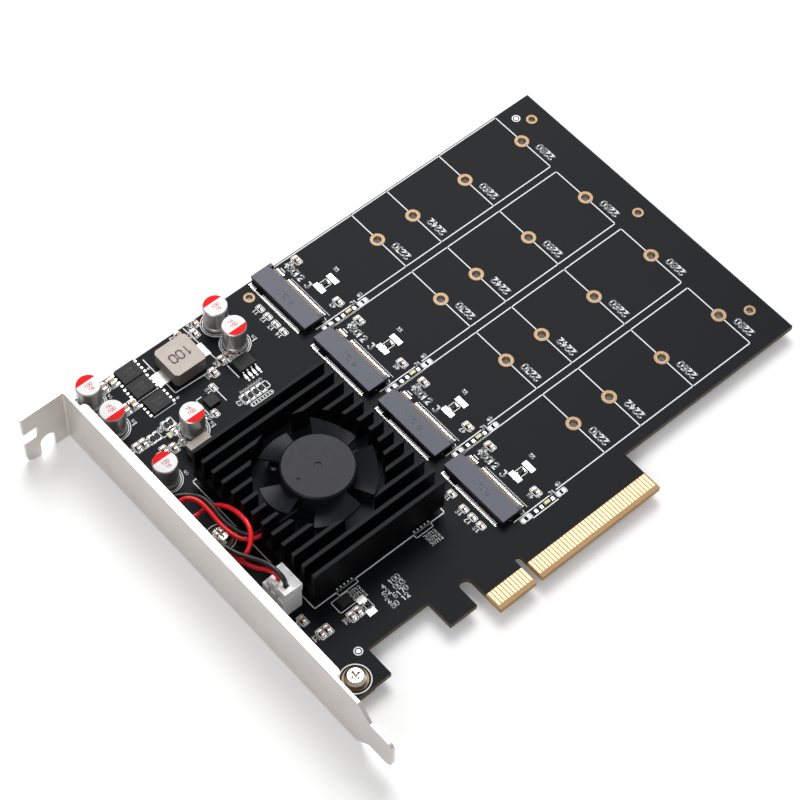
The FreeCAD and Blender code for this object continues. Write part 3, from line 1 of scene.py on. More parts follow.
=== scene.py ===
import json
import math
import bmesh
import bpy
from mathutils import Euler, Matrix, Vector


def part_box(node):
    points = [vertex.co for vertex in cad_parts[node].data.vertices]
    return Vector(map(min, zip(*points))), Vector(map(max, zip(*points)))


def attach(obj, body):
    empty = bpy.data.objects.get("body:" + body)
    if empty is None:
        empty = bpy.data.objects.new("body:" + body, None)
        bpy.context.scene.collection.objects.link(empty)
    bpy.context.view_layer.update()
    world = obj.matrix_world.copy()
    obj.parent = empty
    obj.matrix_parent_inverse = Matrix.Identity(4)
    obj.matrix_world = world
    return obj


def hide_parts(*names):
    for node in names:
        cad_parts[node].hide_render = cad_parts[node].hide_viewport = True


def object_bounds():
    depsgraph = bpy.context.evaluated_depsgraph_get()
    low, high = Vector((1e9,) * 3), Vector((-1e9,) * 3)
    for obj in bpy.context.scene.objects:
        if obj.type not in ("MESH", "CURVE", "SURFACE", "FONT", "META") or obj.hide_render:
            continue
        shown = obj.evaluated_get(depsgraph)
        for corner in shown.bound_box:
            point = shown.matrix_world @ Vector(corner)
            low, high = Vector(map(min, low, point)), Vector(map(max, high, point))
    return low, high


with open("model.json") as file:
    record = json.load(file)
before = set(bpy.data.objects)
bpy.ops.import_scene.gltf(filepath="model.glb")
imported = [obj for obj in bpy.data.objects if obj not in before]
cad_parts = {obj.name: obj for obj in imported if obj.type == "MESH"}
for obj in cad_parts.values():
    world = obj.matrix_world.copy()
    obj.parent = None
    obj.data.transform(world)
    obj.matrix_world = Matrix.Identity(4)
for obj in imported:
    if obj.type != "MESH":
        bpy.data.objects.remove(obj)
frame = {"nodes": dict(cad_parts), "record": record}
CAD_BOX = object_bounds()

MM = 0.001

# The board's own grid, in millimetres: X = 0 at the M.2 sockets' datum, Y = 0 on the lowest socket's
# centre line, Z = 0 on the component side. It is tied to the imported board's box.
BOARD_LEFT, BOARD_TOP = -62.9, 83.9
BOARD_LOW, BOARD_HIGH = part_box("pcb")
BOARD_THICK = (BOARD_HIGH.z - BOARD_LOW.z) / MM
GRID = Vector((BOARD_LOW.x - BOARD_LEFT * MM, BOARD_HIGH.y - BOARD_TOP * MM, BOARD_HIGH.z))

# The sockets' centre lines from the top bay down, and each bay's holes by module length.
SLOT_PITCH = (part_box("m2_connector_3")[0].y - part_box("m2_connector_4")[0].y) / MM
SLOT_ROWS = [SLOT_PITCH * row for row in range(3, -1, -1)]
MODULE_STEPS = ((30.0, "2230"), (42.0, "2242"), (60.0, "2260"), (80.0, "2280"))


def at(x, y, z=0.0):
    """A point of the board's grid, in metres in the row frame."""
    return GRID + Vector((x, y, z)) * MM


# ---------------------------------------------------------------- camera

CAMERA_PLACE = at(-233.271, -222.563, 526.845)
CAMERA_TURN = (33.3648, -1.1179, -41.0181)
CAMERA_LENS, SENSOR_WIDTH = 115.95, 36.0
CAMERA_CLIP = (0.01, 20.0)


def make_camera():
    data = bpy.data.cameras.new("camera")
    data.lens = CAMERA_LENS
    data.sensor_width = SENSOR_WIDTH
    data.clip_start, data.clip_end = CAMERA_CLIP
    camera = bpy.data.objects.new("camera", data)
    camera.location = CAMERA_PLACE
    camera.rotation_euler = Euler([math.radians(angle) for angle in CAMERA_TURN])
    bpy.context.scene.collection.objects.link(camera)
    bpy.context.scene.camera = camera


# ---------------------------------------------------------------- cords

WIRE_DIAMETER = 1.2
WIRE_BEVEL_STEPS, WIRE_ROUTE_STEPS = 5, 10
RED_ROUTE = [
    (-38.4, 21.74, 6.75), (-42.6, 21.74, 6.75), (-47.2, 21.68, 6.7), (-51.4, 21.75, 6.7),
    (-54.3, 23.3, 6.7), (-55.5, 26.6, 6.9), (-56.0, 30.3, 7.3), (-55.8, 34.0, 8.0),
    (-56.2, 38.0, 8.7), (-58.4, 40.6, 8.5), (-61.2, 40.2, 7.6), (-61.4, 37.4, 6.6),
    (-58.8, 35.9, 6.0), (-55.6, 36.2, 6.0), (-52.9, 34.6, 7.1), (-51.9, 31.0, 9.3),
    (-51.8, 27.0, 10.8), (-52.4, 22.9, 11.4), (-54.6, 19.9, 10.4), (-57.2, 18.9, 8.6),
    (-60.2, 19.3, 7.1), (-62.0, 21.9, 6.5), (-62.3, 25.0, 6.3), (-62.3, 27.76, 6.35),
    (-62.1, 28.55, 7.14), (-61.8, 28.55, 8.26), (-61.5, 27.76, 9.05), (-61.0, 25.4, 9.15),
    (-60.3, 22.4, 9.1), (-59.5, 19.4, 9.0), (-58.6, 16.7, 9.2), (-57.5, 14.1, 9.5),
    (-56.45, 12.3, 10.3), (-55.7, 10.2, 10.8), (-55.35, 9.2, 9.9), (-55.35, 9.2, 8.6),
]
BLACK_ROUTE = [
    (-38.4, 23.0, 6.75), (-42.8, 23.0, 6.75), (-47.4, 22.95, 6.7), (-51.7, 23.0, 6.7),
    (-53.2, 24.7, 6.75), (-54.3, 27.7, 6.9), (-54.8, 31.0, 7.4), (-54.5, 34.6, 8.1),
    (-54.7, 38.2, 7.9), (-56.6, 41.2, 7.2), (-59.6, 42.9, 7.6), (-61.9, 41.3, 9.0),
    (-62.4, 38.0, 10.4), (-62.2, 34.0, 11.1), (-62.0, 29.8, 11.2), (-61.2, 26.0, 10.9),
    (-60.0, 22.8, 10.6), (-59.0, 19.6, 10.5), (-57.3, 16.3, 11.0), (-55.9, 13.0, 11.8),
    (-55.5, 10.0, 12.3), (-55.4, 7.8, 12.0), (-55.35, 6.7, 10.9), (-55.35, 6.7, 8.6),
]


def spline_length(piece):
    """Length of a curve's own line, read from its evaluated points."""
    bevel, piece.data.bevel_depth = piece.data.bevel_depth, 0.0
    mesh = bpy.data.meshes.new_from_object(piece.evaluated_get(bpy.context.evaluated_depsgraph_get()))
    piece.data.bevel_depth = bevel
    points = [vertex.co for vertex in mesh.vertices]
    bpy.data.meshes.remove(mesh)
    return sum((b - a).length for a, b in zip(points, points[1:]))


def make_wire(name, node, route, material):
    """A smooth round cord along a route. Its radius is set on the points, with a bevel depth of one, because
    Blender widens a curve's bounding box by the points' radius."""
    curve = bpy.data.curves.new(name, "CURVE")
    curve.dimensions = "3D"
    curve.bevel_depth = 1.0
    curve.bevel_resolution = WIRE_BEVEL_STEPS
    curve.resolution_u = WIRE_ROUTE_STEPS
    curve.use_fill_caps = True
    spline = curve.splines.new("NURBS")
    spline.points.add(len(route) - 1)
    for point, spot in zip(spline.points, route):
        point.co = (*at(*spot), 1.0)
        point.radius = WIRE_DIAMETER / 2 * MM
    spline.order_u = 3
    spline.use_endpoint_u = True
    wire = bpy.data.objects.new(name, curve)
    bpy.context.scene.collection.objects.link(wire)
    curve.materials.append(material)
    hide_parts(node)
    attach(wire, "card")
    bpy.context.view_layer.update()
    spline_length(wire)


# ---------------------------------------------------------------- materials

# Surfaces by name: colour, metallic share, roughness and how far it drifts, width of the drift's cells and of
# the fine grain in millimetres, strength of the grain, and share by which the colour drifts.
FINISHES = {
    "gold": ((0.52, 0.37, 0.22), 0.9, 0.38, 0.06, 0.8, 0.15, 0.05, 0.10),
    "ring_gold": ((0.21, 0.14, 0.085), 0.8, 0.42, 0.06, 0.8, 0.15, 0.10, 0.15),
    "bare_laminate": ((0.36, 0.19, 0.05), 0.0, 0.45, 0.06, 0.8, 0.10, 0.15, 0.15),
    "nickel_plate": ((0.66, 0.625, 0.59), 0.6, 0.42, 0.06, 6.0, 0.25, 0.08, 0.04),
    "nickel_screw": ((0.72, 0.68, 0.62), 1.0, 0.22, 0.06, 0.8, 0.10, 0.06, 0.12),
    "chip_epoxy": ((0.018, 0.018, 0.020), 0.0, 0.55, 0.05, 1.0, 0.12, 0.12, 0.15),
    "thermal_pad": ((0.32, 0.38, 0.42), 0.0, 0.60, 0.05, 1.0, 0.20, 0.10, 0.12),
    "black_plastic": ((0.0085, 0.009, 0.0115), 0.0, 0.36, 0.05, 1.5, 0.15, 0.08, 0.10),
    "dark_screw": ((0.05, 0.05, 0.055), 0.9, 0.35, 0.06, 0.6, 0.10, 0.05, 0.12),
    "sintered_bronze": ((0.42, 0.27, 0.13), 0.9, 0.50, 0.06, 0.4, 0.08, 0.30, 0.12),
    "lamination_steel": ((0.30, 0.30, 0.31), 0.9, 0.45, 0.06, 0.5, 0.20, 0.30, 0.10),
    "copper_wire": ((0.62, 0.24, 0.10), 0.9, 0.30, 0.06, 0.5, 0.20, 0.30, 0.15),
    "green_board": ((0.02, 0.11, 0.045), 0.0, 0.40, 0.05, 1.0, 0.20, 0.06, 0.12),
    "shaft_steel": ((0.72, 0.72, 0.74), 1.0, 0.15, 0.04, 0.5, 0.10, 0.03, 0.12),
    "ferrite": ((0.05, 0.045, 0.04), 0.0, 0.60, 0.05, 0.6, 0.12, 0.12, 0.12),
    "white_plastic": ((0.90, 0.90, 0.91), 0.0, 0.35, 0.05, 2.0, 0.20, 0.04, 0.02),
    "tin": ((0.84, 0.83, 0.81), 0.7, 0.36, 0.08, 0.5, 0.12, 0.12, 0.10),
    "red_sleeve": ((0.80, 0.006, 0.014), 0.0, 0.32, 0.05, 2.0, 0.20, 0.05, 0.06),
    "black_sleeve": ((0.012, 0.012, 0.013), 0.0, 0.32, 0.05, 2.0, 0.20, 0.05, 0.12),
    "can_aluminium": ((0.60, 0.59, 0.58), 0.8, 0.34, 0.05, 3.0, 0.30, 0.05, 0.04),
    "black_rubber": ((0.02, 0.02, 0.02), 0.0, 0.70, 0.05, 1.0, 0.15, 0.10, 0.12),
    "tan_ceramic": ((0.42, 0.22, 0.11), 0.0, 0.45, 0.06, 0.5, 0.10, 0.10, 0.15),
    "led_resin": ((0.55, 0.52, 0.25), 0.0, 0.25, 0.05, 0.5, 0.10, 0.04, 0.15),
}

# Screen-printed inks share one finish, slightly uneven at its own grain; they differ in colour.
INK_FINISH = (0.0, 0.50, 0.06, 0.6, 0.10, 0.10, 0.05)
INKS = {
    "white_ink": (0.86, 0.87, 0.87),
    "can_white": (0.86, 0.85, 0.85),
    "red_ink": (0.80, 0.003, 0.006),
    "grey_ink": (0.10, 0.10, 0.11),
    "socket_ink": (0.16, 0.165, 0.19),
    "dark_ink": (0.13, 0.115, 0.10),
}

# Surfaces with a painted highlight: their upward faces are painted paler than their sides, where the light
# falls on them: side, top, specular level.
PAINTED_HIGHLIGHT_TONES = {
    "black_anodised": ((0.003, 0.003, 0.0035), (0.010, 0.011, 0.013), 0.08),
    "inductor_block": ((0.13, 0.115, 0.095), (0.46, 0.395, 0.345), 0.40),
    "socket_plastic": ((0.012, 0.012, 0.016), (0.082, 0.088, 0.120), 0.30),
}

USUAL_SPECULAR, INK_SPECULAR = 0.5, 0.3
SPECULAR = {"chip_epoxy": 0.25, "black_plastic": 0.16, "red_ink": 0.1}

# Surfaces that are layered, wound or drawn: how many times finer their pattern is along Z.
LAYERS = {"lamination_steel": 14, "copper_wire": 9, "can_aluminium": 6}

MASK_DARK, MASK_PALE = (0.0060, 0.0066, 0.0088), (0.0080, 0.0087, 0.0112)
FIBRE_DARK, FIBRE_PALE = (0.05, 0.042, 0.022), (0.12, 0.10, 0.05)
GRAIN_DEPTH = 0.05
GRAIN_DETAIL = 6.0
LEVEL_FACE = 0.9


def shade(colour, share):
    return tuple(min(1.0, part * share) for part in colour)


class Surface:
    """A material in the making: one principled shader, and the nodes that the finishes share."""

    def __init__(self, name):
        self.material = bpy.data.materials.new(name)
        self.material.use_nodes = True
        self.nodes, self.links = self.material.node_tree.nodes, self.material.node_tree.links
        self.nodes.clear()
        output = self.nodes.new("ShaderNodeOutputMaterial")
        self.shader = self.nodes.new("ShaderNodeBsdfPrincipled")
        self.links.new(self.shader.outputs["BSDF"], output.inputs["Surface"])

    def level(self, name, value):
        self.shader.inputs[name].default_value = value

    def feed(self, name, output):
        self.links.new(output, self.shader.inputs[name])

    def object_space(self, layers=1):
        """The object's own coordinates, squeezed along Z by the number of layers."""
        place = self.nodes.new("ShaderNodeTexCoord")
        mapping = self.nodes.new("ShaderNodeMapping")
        mapping.inputs["Scale"].default_value = (1, 1, layers)
        self.links.new(place.outputs["Object"], mapping.inputs["Vector"])
        return mapping.outputs["Vector"]

    def noise(self, vector, cell, detail=4.0):
        """Noise whose cells are about as wide as given, in millimetres."""
        texture = self.nodes.new("ShaderNodeTexNoise")
        texture.inputs["Scale"].default_value = 1 / (cell * MM)
        texture.inputs["Detail"].default_value = detail
        self.links.new(vector, texture.inputs["Vector"])
        return texture.outputs["Fac"]

    def blend(self, value, first, second, margin=0.3):
        """From one colour to the other, as the value goes from the margin to one less the margin."""
        item = self.nodes.new("ShaderNodeValToRGB")
        for element, place, colour in zip(item.color_ramp.elements, (margin, 1 - margin), (first, second)):
            element.position = place
            element.color = (*colour, 1)
        self.links.new(value, item.inputs["Fac"])
        return item.outputs["Color"]

    def tint(self, value, colour, tone):
        """A colour that drifts by a share of itself."""
        return self.blend(value, shade(colour, 1 - tone), shade(colour, 1 + tone))

    def spread(self, value, low, high):
        item = self.nodes.new("ShaderNodeMapRange")
        item.inputs["To Min"].default_value, item.inputs["To Max"].default_value = low, high
        self.links.new(value, item.inputs["Value"])
        return item.outputs["Result"]

    def grain(self, vector, cell, strength):
        """A fine bump, over the whole surface."""
        relief = self.nodes.new("ShaderNodeBump")
        relief.inputs["Strength"].default_value = strength
        relief.inputs["Distance"].default_value = GRAIN_DEPTH * MM
        self.links.new(self.noise(vector, cell, GRAIN_DETAIL), relief.inputs["Height"])
        self.feed("Normal", relief.outputs["Normal"])

    def calculate(self, operation, first, second=None, clamp=False):
        """One sum on a node's value, with a plain number or another node's value."""
        node = self.nodes.new("ShaderNodeMath")
        node.operation = operation
        node.use_clamp = clamp
        self.links.new(first, node.inputs[0])
        if isinstance(second, float):
            node.inputs[1].default_value = second
        elif second is not None:
            self.links.new(second, node.inputs[1])
        return node.outputs["Value"]

    def by_level_face(self, side, flat):
        """One colour on the faces that look straight up or down, another on the rest."""
        geometry = self.nodes.new("ShaderNodeNewGeometry")
        split = self.nodes.new("ShaderNodeSeparateXYZ")
        self.links.new(geometry.outputs["True Normal"], split.inputs["Vector"])
        height = self.calculate("ABSOLUTE", split.outputs["Z"])
        mix = self.nodes.new("ShaderNodeMix")
        mix.data_type = "RGBA"
        self.links.new(self.calculate("GREATER_THAN", height, LEVEL_FACE), mix.inputs["Factor"])
        self.links.new(side, mix.inputs["A"])
        self.links.new(flat, mix.inputs["B"])
        return mix.outputs["Result"]


def finish_material(name, colour, metallic, rough, rough_drift, cell, grain_cell, grain, tone):
    """A worn-in surface: the colour and gloss drift over one cell size, with a fine bump at another."""
    surface = Surface(name)
    surface.level("Metallic", metallic)
    surface.level("Specular IOR Level", SPECULAR.get(name, INK_SPECULAR if name in INKS else USUAL_SPECULAR))
    vector = surface.object_space(LAYERS.get(name, 1))
    drift = surface.noise(vector, cell)
    surface.feed("Base Color", surface.tint(drift, colour, tone))
    surface.feed("Roughness", surface.spread(drift, rough - rough_drift, rough + rough_drift))
    surface.grain(vector, grain_cell, grain)
    return surface.material


# A surface with a painted highlight: the level faces, such as fin tops, take a paler colour than the sides,
# standing in for the light that falls on them.
def painted_highlight_surface(name, side, top, specular):
    surface = Surface(name)
    surface.level("Specular IOR Level", specular)
    vector = surface.object_space()
    drift = surface.noise(vector, cell=3.0)
    side_tint = surface.tint(drift, side, tone=0.15)
    # The paler top colour is a painted highlight.
    highlight_tint = surface.tint(drift, top, tone=0.1)
    surface.feed("Base Color", surface.by_level_face(side_tint, highlight_tint))
    surface.feed("Roughness", surface.spread(drift, low=0.38, high=0.52))
    surface.grain(vector, cell=0.2, strength=0.12)
    return surface.material


def board_material():
    """Black mask on the two faces, glass laminate on the cut edges."""
    surface = Surface("solder_mask")
    surface.level("Specular IOR Level", 0.06)
    vector = surface.object_space()
    drift = surface.noise(vector, cell=12.0)
    mask = surface.blend(drift, MASK_DARK, MASK_PALE)
    fibre = surface.noise(surface.object_space(layers=12), cell=0.4)
    laminate = surface.blend(fibre, FIBRE_DARK, FIBRE_PALE, margin=0.35)
    surface.feed("Base Color", surface.by_level_face(laminate, mask))
    surface.feed("Roughness", surface.spread(drift, low=0.36, high=0.46))
    surface.grain(vector, cell=0.3, strength=0.06)
    return surface.material


def make_materials():
    """Every material by its name; a record slot's material has the slot's name."""
    materials = {"solder_mask": board_material()}
    for name, finish in FINISHES.items():
        materials[name] = finish_material(name, *finish)
    for name, colour in INKS.items():
        materials[name] = finish_material(name, colour, *INK_FINISH)
    for name, tones in PAINTED_HIGHLIGHT_TONES.items():
        materials[name] = painted_highlight_surface(name, *tones)
    return materials


def dress_nodes(materials):
    """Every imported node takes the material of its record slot."""
    slots = {part["node"]: part["material_slot"] for part in frame["record"]["subparts"]}
    for name, node in frame["nodes"].items():
        node.data.materials.clear()
        node.data.materials.append(materials[slots[name]])


# ---------------------------------------------------------------- flat prints, pads and rings

# Print stands this high on the board, and stops just short of the board's top edge.
PRINT_LIFT = 0.02
EDGE = BOARD_TOP - 0.4
LINE, FINE_LINE, BOLD_LINE = 0.28, 0.2, 0.36

# A disc is a ring with a centre hole too small to see.
DISC_CENTRE = 0.01

# Points that are closer than this count as one: in millimetres in an outline, in metres in a mesh.
SAME_POINT, MERGE = 1e-4, 1e-7

# Plain digits as strokes in a cell 0.6 wide and 1 high, with the step from one digit to the next.
DIGIT_STEP, DIGIT_GAP = 0.84, 0.24
DIGITS = {
    "0": [(0.15, 0), (0.45, 0), (0.6, 0.2), (0.6, 0.8), (0.45, 1), (0.15, 1), (0, 0.8), (0, 0.2),
          (0.15, 0)],
    "1": [(0.1, 0.8), (0.3, 1), (0.3, 0)],
    "2": [(0, 0.8), (0.15, 1), (0.45, 1), (0.6, 0.8), (0.6, 0.6), (0, 0), (0.6, 0)],
    "3": [(0, 1), (0.6, 1), (0.3, 0.6), (0.6, 0.42), (0.6, 0.18), (0.45, 0), (0.15, 0), (0, 0.15)],
    "4": [(0.45, 0), (0.45, 1), (0, 0.35), (0.6, 0.35)],
    "5": [(0.55, 1), (0.05, 1), (0, 0.55), (0.4, 0.6), (0.6, 0.42), (0.6, 0.18), (0.45, 0), (0.15, 0),
          (0, 0.15)],
    "6": [(0.5, 1), (0.2, 1), (0, 0.7), (0, 0.2), (0.15, 0), (0.45, 0), (0.6, 0.2), (0.6, 0.4),
          (0.45, 0.55), (0, 0.45)],
    "7": [(0, 1), (0.6, 1), (0.25, 0)],
    "8": [(0.15, 0.55), (0, 0.4), (0, 0.15), (0.15, 0), (0.45, 0), (0.6, 0.15), (0.6, 0.4), (0.45, 0.55),
          (0.15, 0.55), (0.02, 0.72), (0.15, 1), (0.45, 1), (0.58, 0.72), (0.45, 0.55)],
    "9": [(0.1, 0), (0.4, 0), (0.6, 0.3), (0.6, 0.8), (0.45, 1), (0.15, 1), (0, 0.8), (0, 0.6),
          (0.15, 0.45), (0.6, 0.55)],
}


def turned(x, y, a, b, turn):
    """The point that lies (a, b) from (x, y) once that step is turned by an angle in degrees."""
    cosine, sine = math.cos(math.radians(turn)), math.sin(math.radians(turn))
    return x + a * cosine - b * sine, y + a * sine + b * cosine


def place_piece(name, mesh, material):
    """A finished mesh as a visible piece that is fixed to the card."""
    mesh.materials.append(material)
    piece = bpy.data.objects.new(name, mesh)
    bpy.context.scene.collection.objects.link(piece)
    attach(piece, "card")
    return piece


class Flat:
    """Flat shapes of one thickness, gathered into one mesh piece. Heights are above the board."""

    def __init__(self, name, material, slot, height=PRINT_LIFT, thick=PRINT_LIFT):
        self.name, self.material, self.slot = name, material, slot
        self.low, self.high = height - thick, height
        self.bm = bmesh.new()

    def polygon(self, points, z=0.0):
        """A prism over a convex outline of (x, y) points, given counter-clockwise."""
        low = [self.bm.verts.new(at(x, y, z + self.low)) for x, y in points]
        high = [self.bm.verts.new(at(x, y, z + self.high)) for x, y in points]
        self.bm.faces.new(high)
        self.bm.faces.new(low[::-1])
        for index in range(len(points)):
            after = (index + 1) % len(points)
            self.bm.faces.new((low[index], low[after], high[after], high[index]))

    def bar(self, x, y, wide, long, turn=0.0):
        """A rectangle by its centre."""
        half, tall = wide / 2, long / 2
        corners = ((-half, -tall), (half, -tall), (half, tall), (-half, tall))
        self.polygon([turned(x, y, a, b, turn) for a, b in corners])

    def line(self, start, end, wide=LINE):
        """A straight line that reaches half its width past both its ends."""
        (x0, y0), (x1, y1) = start, end
        length = math.hypot(x1 - x0, y1 - y0)
        turn = math.degrees(math.atan2(y1 - y0, x1 - x0))
        self.bar((x0 + x1) / 2, (y0 + y1) / 2, length + wide, wide, turn)

    def path(self, points, wide=LINE):
        for start, end in zip(points, points[1:]):
            self.line(start, end, wide)

    def outline(self, x0, y0, x1, y1, wide=LINE):
        """A box drawn with lines."""
        self.path([(x0, y0), (x1, y0), (x1, y1), (x0, y1), (x0, y0)], wide)

    def number(self, words, x, y, size, turn, wide):
        """Plain digits with straight strokes, centred on a point; size is their height."""
        start = -(len(words) * DIGIT_STEP - DIGIT_GAP) / 2
        for place, word in enumerate(words):
            spots = [turned(x, y, (start + place * DIGIT_STEP + a) * size, (b - 0.5) * size, turn)
                     for a, b in DIGITS.get(word, ())]
            self.path(spots, wide)

    def ring(self, x, y, inner, outer, z=0.0, steps=40, start=0.0, end=360.0):
        """A flat ring, or a part of one, in small steps."""
        angles = [math.radians(start + (end - start) * step / steps) for step in range(steps + 1)]
        for a, b in zip(angles, angles[1:]):
            self.polygon([(x + inner * math.cos(a), y + inner * math.sin(a)),
                          (x + outer * math.cos(a), y + outer * math.sin(a)),
                          (x + outer * math.cos(b), y + outer * math.sin(b)),
                          (x + inner * math.cos(b), y + inner * math.sin(b))], z)

    def disc(self, x, y, radius, steps=40):
        self.ring(x, y, DISC_CENTRE, radius, steps=steps)

    def disc_part(self, x, y, radius, low, high, steps=24):
        """The part of a disc between two chords parallel to X, given as shares of the radius."""
        a0, a1 = math.asin(low), math.asin(high)
        angles = [a0 + (a1 - a0) * step / steps for step in range(steps + 1)]
        right = [(x + radius * math.cos(a), y + radius * math.sin(a)) for a in angles]
        left = [(x - radius * math.cos(a), y + radius * math.sin(a)) for a in reversed(angles)]
        outline = []
        for point in right + left:
            if not outline or math.dist(point, outline[-1]) > SAME_POINT:
                outline.append(point)
        if math.dist(outline[0], outline[-1]) < SAME_POINT:
            outline.pop()
        self.polygon(outline)

    def make(self):
        bmesh.ops.remove_doubles(self.bm, verts=self.bm.verts, dist=MERGE)
        mesh = bpy.data.meshes.new(self.name)
        self.bm.to_mesh(mesh)
        self.bm.free()
        place_piece(self.name, mesh, self.material)


# ---------------------------------------------------------------- plated holes and finger tongue

UNDER = -BOARD_THICK - PRINT_LIFT
FACES = (0.0, UNDER)
STANDOFF_HOLE, STANDOFF_RING = 1.25, 1.95
COVER_HOLE, COVER_RING = 1.05, 1.5
COVER_HOLES = [(87.0, 76.96), (87.0, 36.48), (87.0, -4.0), (-6.5, 80.2)]
BRACKET_HOLE, BRACKET_RING = 1.62, 3.15
BRACKET_SCREWS = [(-55.65, -18.5), (-55.65, 30.5)]
PLATING, PLATING_STEPS = 0.05, 24

# The finger tongue: left and right end of its two parts, either side of the key slot, and its tip and root.
TONGUE_PARTS = ((-18.2, -6.85), (-4.95, 33.4))
TONGUE_TIP, TONGUE_ROOT = -26.75, -21.5
RIM_LIFT, RIM_WIDE = 0.01, 0.06


def make_hole_plating(materials):
    """Plated rings round the holes on both faces, and the plated walls of the holes."""
    rings = Flat("hole_rings", materials["ring_gold"], "gold")
    holes = [(x, y, STANDOFF_HOLE, STANDOFF_RING) for y in SLOT_ROWS for x, _ in MODULE_STEPS]
    holes += [(x, y, COVER_HOLE, COVER_RING) for x, y in COVER_HOLES]
    for x, y, inner, outer in holes:
        for z in FACES:
            rings.ring(x, y, inner, outer, z)
    for x, y in BRACKET_SCREWS:
        rings.ring(x, y, BRACKET_HOLE, BRACKET_RING)
    rings.make()
    walls = Flat("hole_plating", materials["gold"], "gold", BOARD_THICK, BOARD_THICK)
    for x, y, inner, _ in holes:
        walls.ring(x, y, inner - PLATING, inner, -BOARD_THICK, PLATING_STEPS)
    walls.make()


def make_tongue(materials):
    """Bare golden laminate round the edge contacts, on both faces and round the tongue's edge."""
    laminate = materials["bare_laminate"]
    strip = Flat("tongue_laminate", laminate, "gold")
    rim = Flat("tongue_rim", laminate, "gold", RIM_LIFT, BOARD_THICK + 2 * RIM_LIFT)
    for left, right in TONGUE_PARTS:
        outline = [(left, TONGUE_TIP), (right, TONGUE_TIP), (right, TONGUE_ROOT), (left, TONGUE_ROOT)]
        for z in FACES:
            strip.polygon(outline, z)
        rim.bar((left + right) / 2, TONGUE_TIP, right - left, RIM_WIDE)
        for x in (left, right):
            rim.bar(x, (TONGUE_TIP + TONGUE_ROOT) / 2, RIM_WIDE, TONGUE_ROOT - TONGUE_TIP)
    strip.make()
    rim.make()


# ---------------------------------------------------------------- print and pads on the board

PAD_HEIGHT, PAD_THICK = 0.03, 0.04
LEAD_PITCH = 1.27

# Styles of the plain numbers: height, turn in degrees, width of the stroke.
MODULE_STYLE = (1.75, 90, BOLD_LINE)
SOCKET_STYLE = (1.75, -90, BOLD_LINE)
BAY_STYLE = (0.95, 0, FINE_LINE)
BAY_SIDE_STYLE = (0.9, 90, FINE_LINE)
ROW_STYLE = (0.8, 0, FINE_LINE)
TRANSISTOR_STYLE = (1.0, 90, FINE_LINE)
CAN_STYLE = (1.1, 0, FINE_LINE)
GROUP_STYLE = (0.85, 0, 0.18)
WORDS_STYLE = (1.3, 0, 0.24)
PART_STYLE = (1.05, 90, 0.22)

# Outlines by their lower left and upper right corners, and single lines by their points.
HEATSINK_OUTLINE = (-51.0, 1.5, -10.7, 47.0)
RESISTOR_OUTLINE = (-52.1, 61.2, -44.0, 63.8)
CLOCK_OUTLINE = (-47.2, -3.4, -42.2, 0.2)
POWER_LINES = [
    [(-24.4, 69.0), (-38.4, 69.6), (-38.4, 82.4)],
    [(-24.4, 69.0), (-25.0, 83.4)],
    [(-36.0, 59.2), (-36.0, 64.6), (-34.4, 64.6)],
    [(-30.2, 60.0), (-30.2, 64.6)],
]

# Pads by their centres and sizes.
LARGE_PADS = [(-41.2, -3.7, 2.3, 1.7), (-41.4, -7.6, 2.3, 1.7), (-38.9, 75.2, 2.6, 4.2),
              (-25.6, 75.2, 2.6, 4.2)]

BRACKET_PRINT_RING = (3.65, 3.93)
FIDUCIALS = ((84.05, 79.85), (-50.5, -13.5))
FIDUCIAL_RING, FIDUCIAL_DOT = (0.85, 1.15), 0.5


def print_contact_row(marks):
    """Two long boxes above the heatsink: a row of eight plain digits over one, eight marks in the other."""
    marks.outline(-26.8, 56.2, -19.2, 58.3)
    marks.outline(-26.5, 54.2, -19.8, 55.2, FINE_LINE)
    left, pitch = -26.2, 0.86
    digit_row, mark_row, mark_size = 59.3, 54.7, (0.35, 0.5)
    for step in range(8):
        marks.number("0", left + 0.2 + step * pitch, digit_row, *ROW_STYLE)
        marks.bar(left + step * pitch, mark_row, *mark_size)


# Power transistors: height of the line below each, and the line's left and right end.
TRANSISTORS = ((78.7, -46.8, -40.4), (73.5, -47.1, -40.7), (67.3, -46.7, -40.3))


def print_transistors(marks, pads):
    """A line under each power transistor, four lead pads on either side, and a plain digit."""
    first_lead, outside, pad_size = 0.9, 0.25, (0.7, 0.65)
    for low, left, right in TRANSISTORS:
        marks.line((left, low), (right, low))
        for step in range(4):
            for x in (left - outside, right + outside):
                pads.bar(x, low + first_lead + step * LEAD_PITCH, *pad_size)
        marks.number("4", right + 1.4, low + 0.8, *TRANSISTOR_STYLE)


def print_round_marks(marks, pads):
    """Rings round the bracket's screws, and the two round sighting marks."""
    for x, y in BRACKET_SCREWS:
        marks.ring(x, y, *BRACKET_PRINT_RING)
    for x, y in FIDUCIALS:
        marks.ring(x, y, *FIDUCIAL_RING)
        pads.disc(x, y, FIDUCIAL_DOT)


# Capacitor cans: centre, and 1 or -1 for a red stripe on the upper or the lower side.
CANS = [((-56.0, 80.6), 1), ((-56.0, 71.1), -1), ((-41.7, 58.3), -1), ((-55.4, 51.4), 1),
        ((-17.8, 79.3), 1), ((-18.0, 71.6), -1)]
CAN_PRINT_RINGS = ((3.35, 3.58), (3.85, 4.08))
CAN_DIGIT = (4.8, -1.5)
CAN_DASH_LEFT, CAN_DASH_RIGHT, CAN_DASH_UP = 3.9, 5.1, 2.2


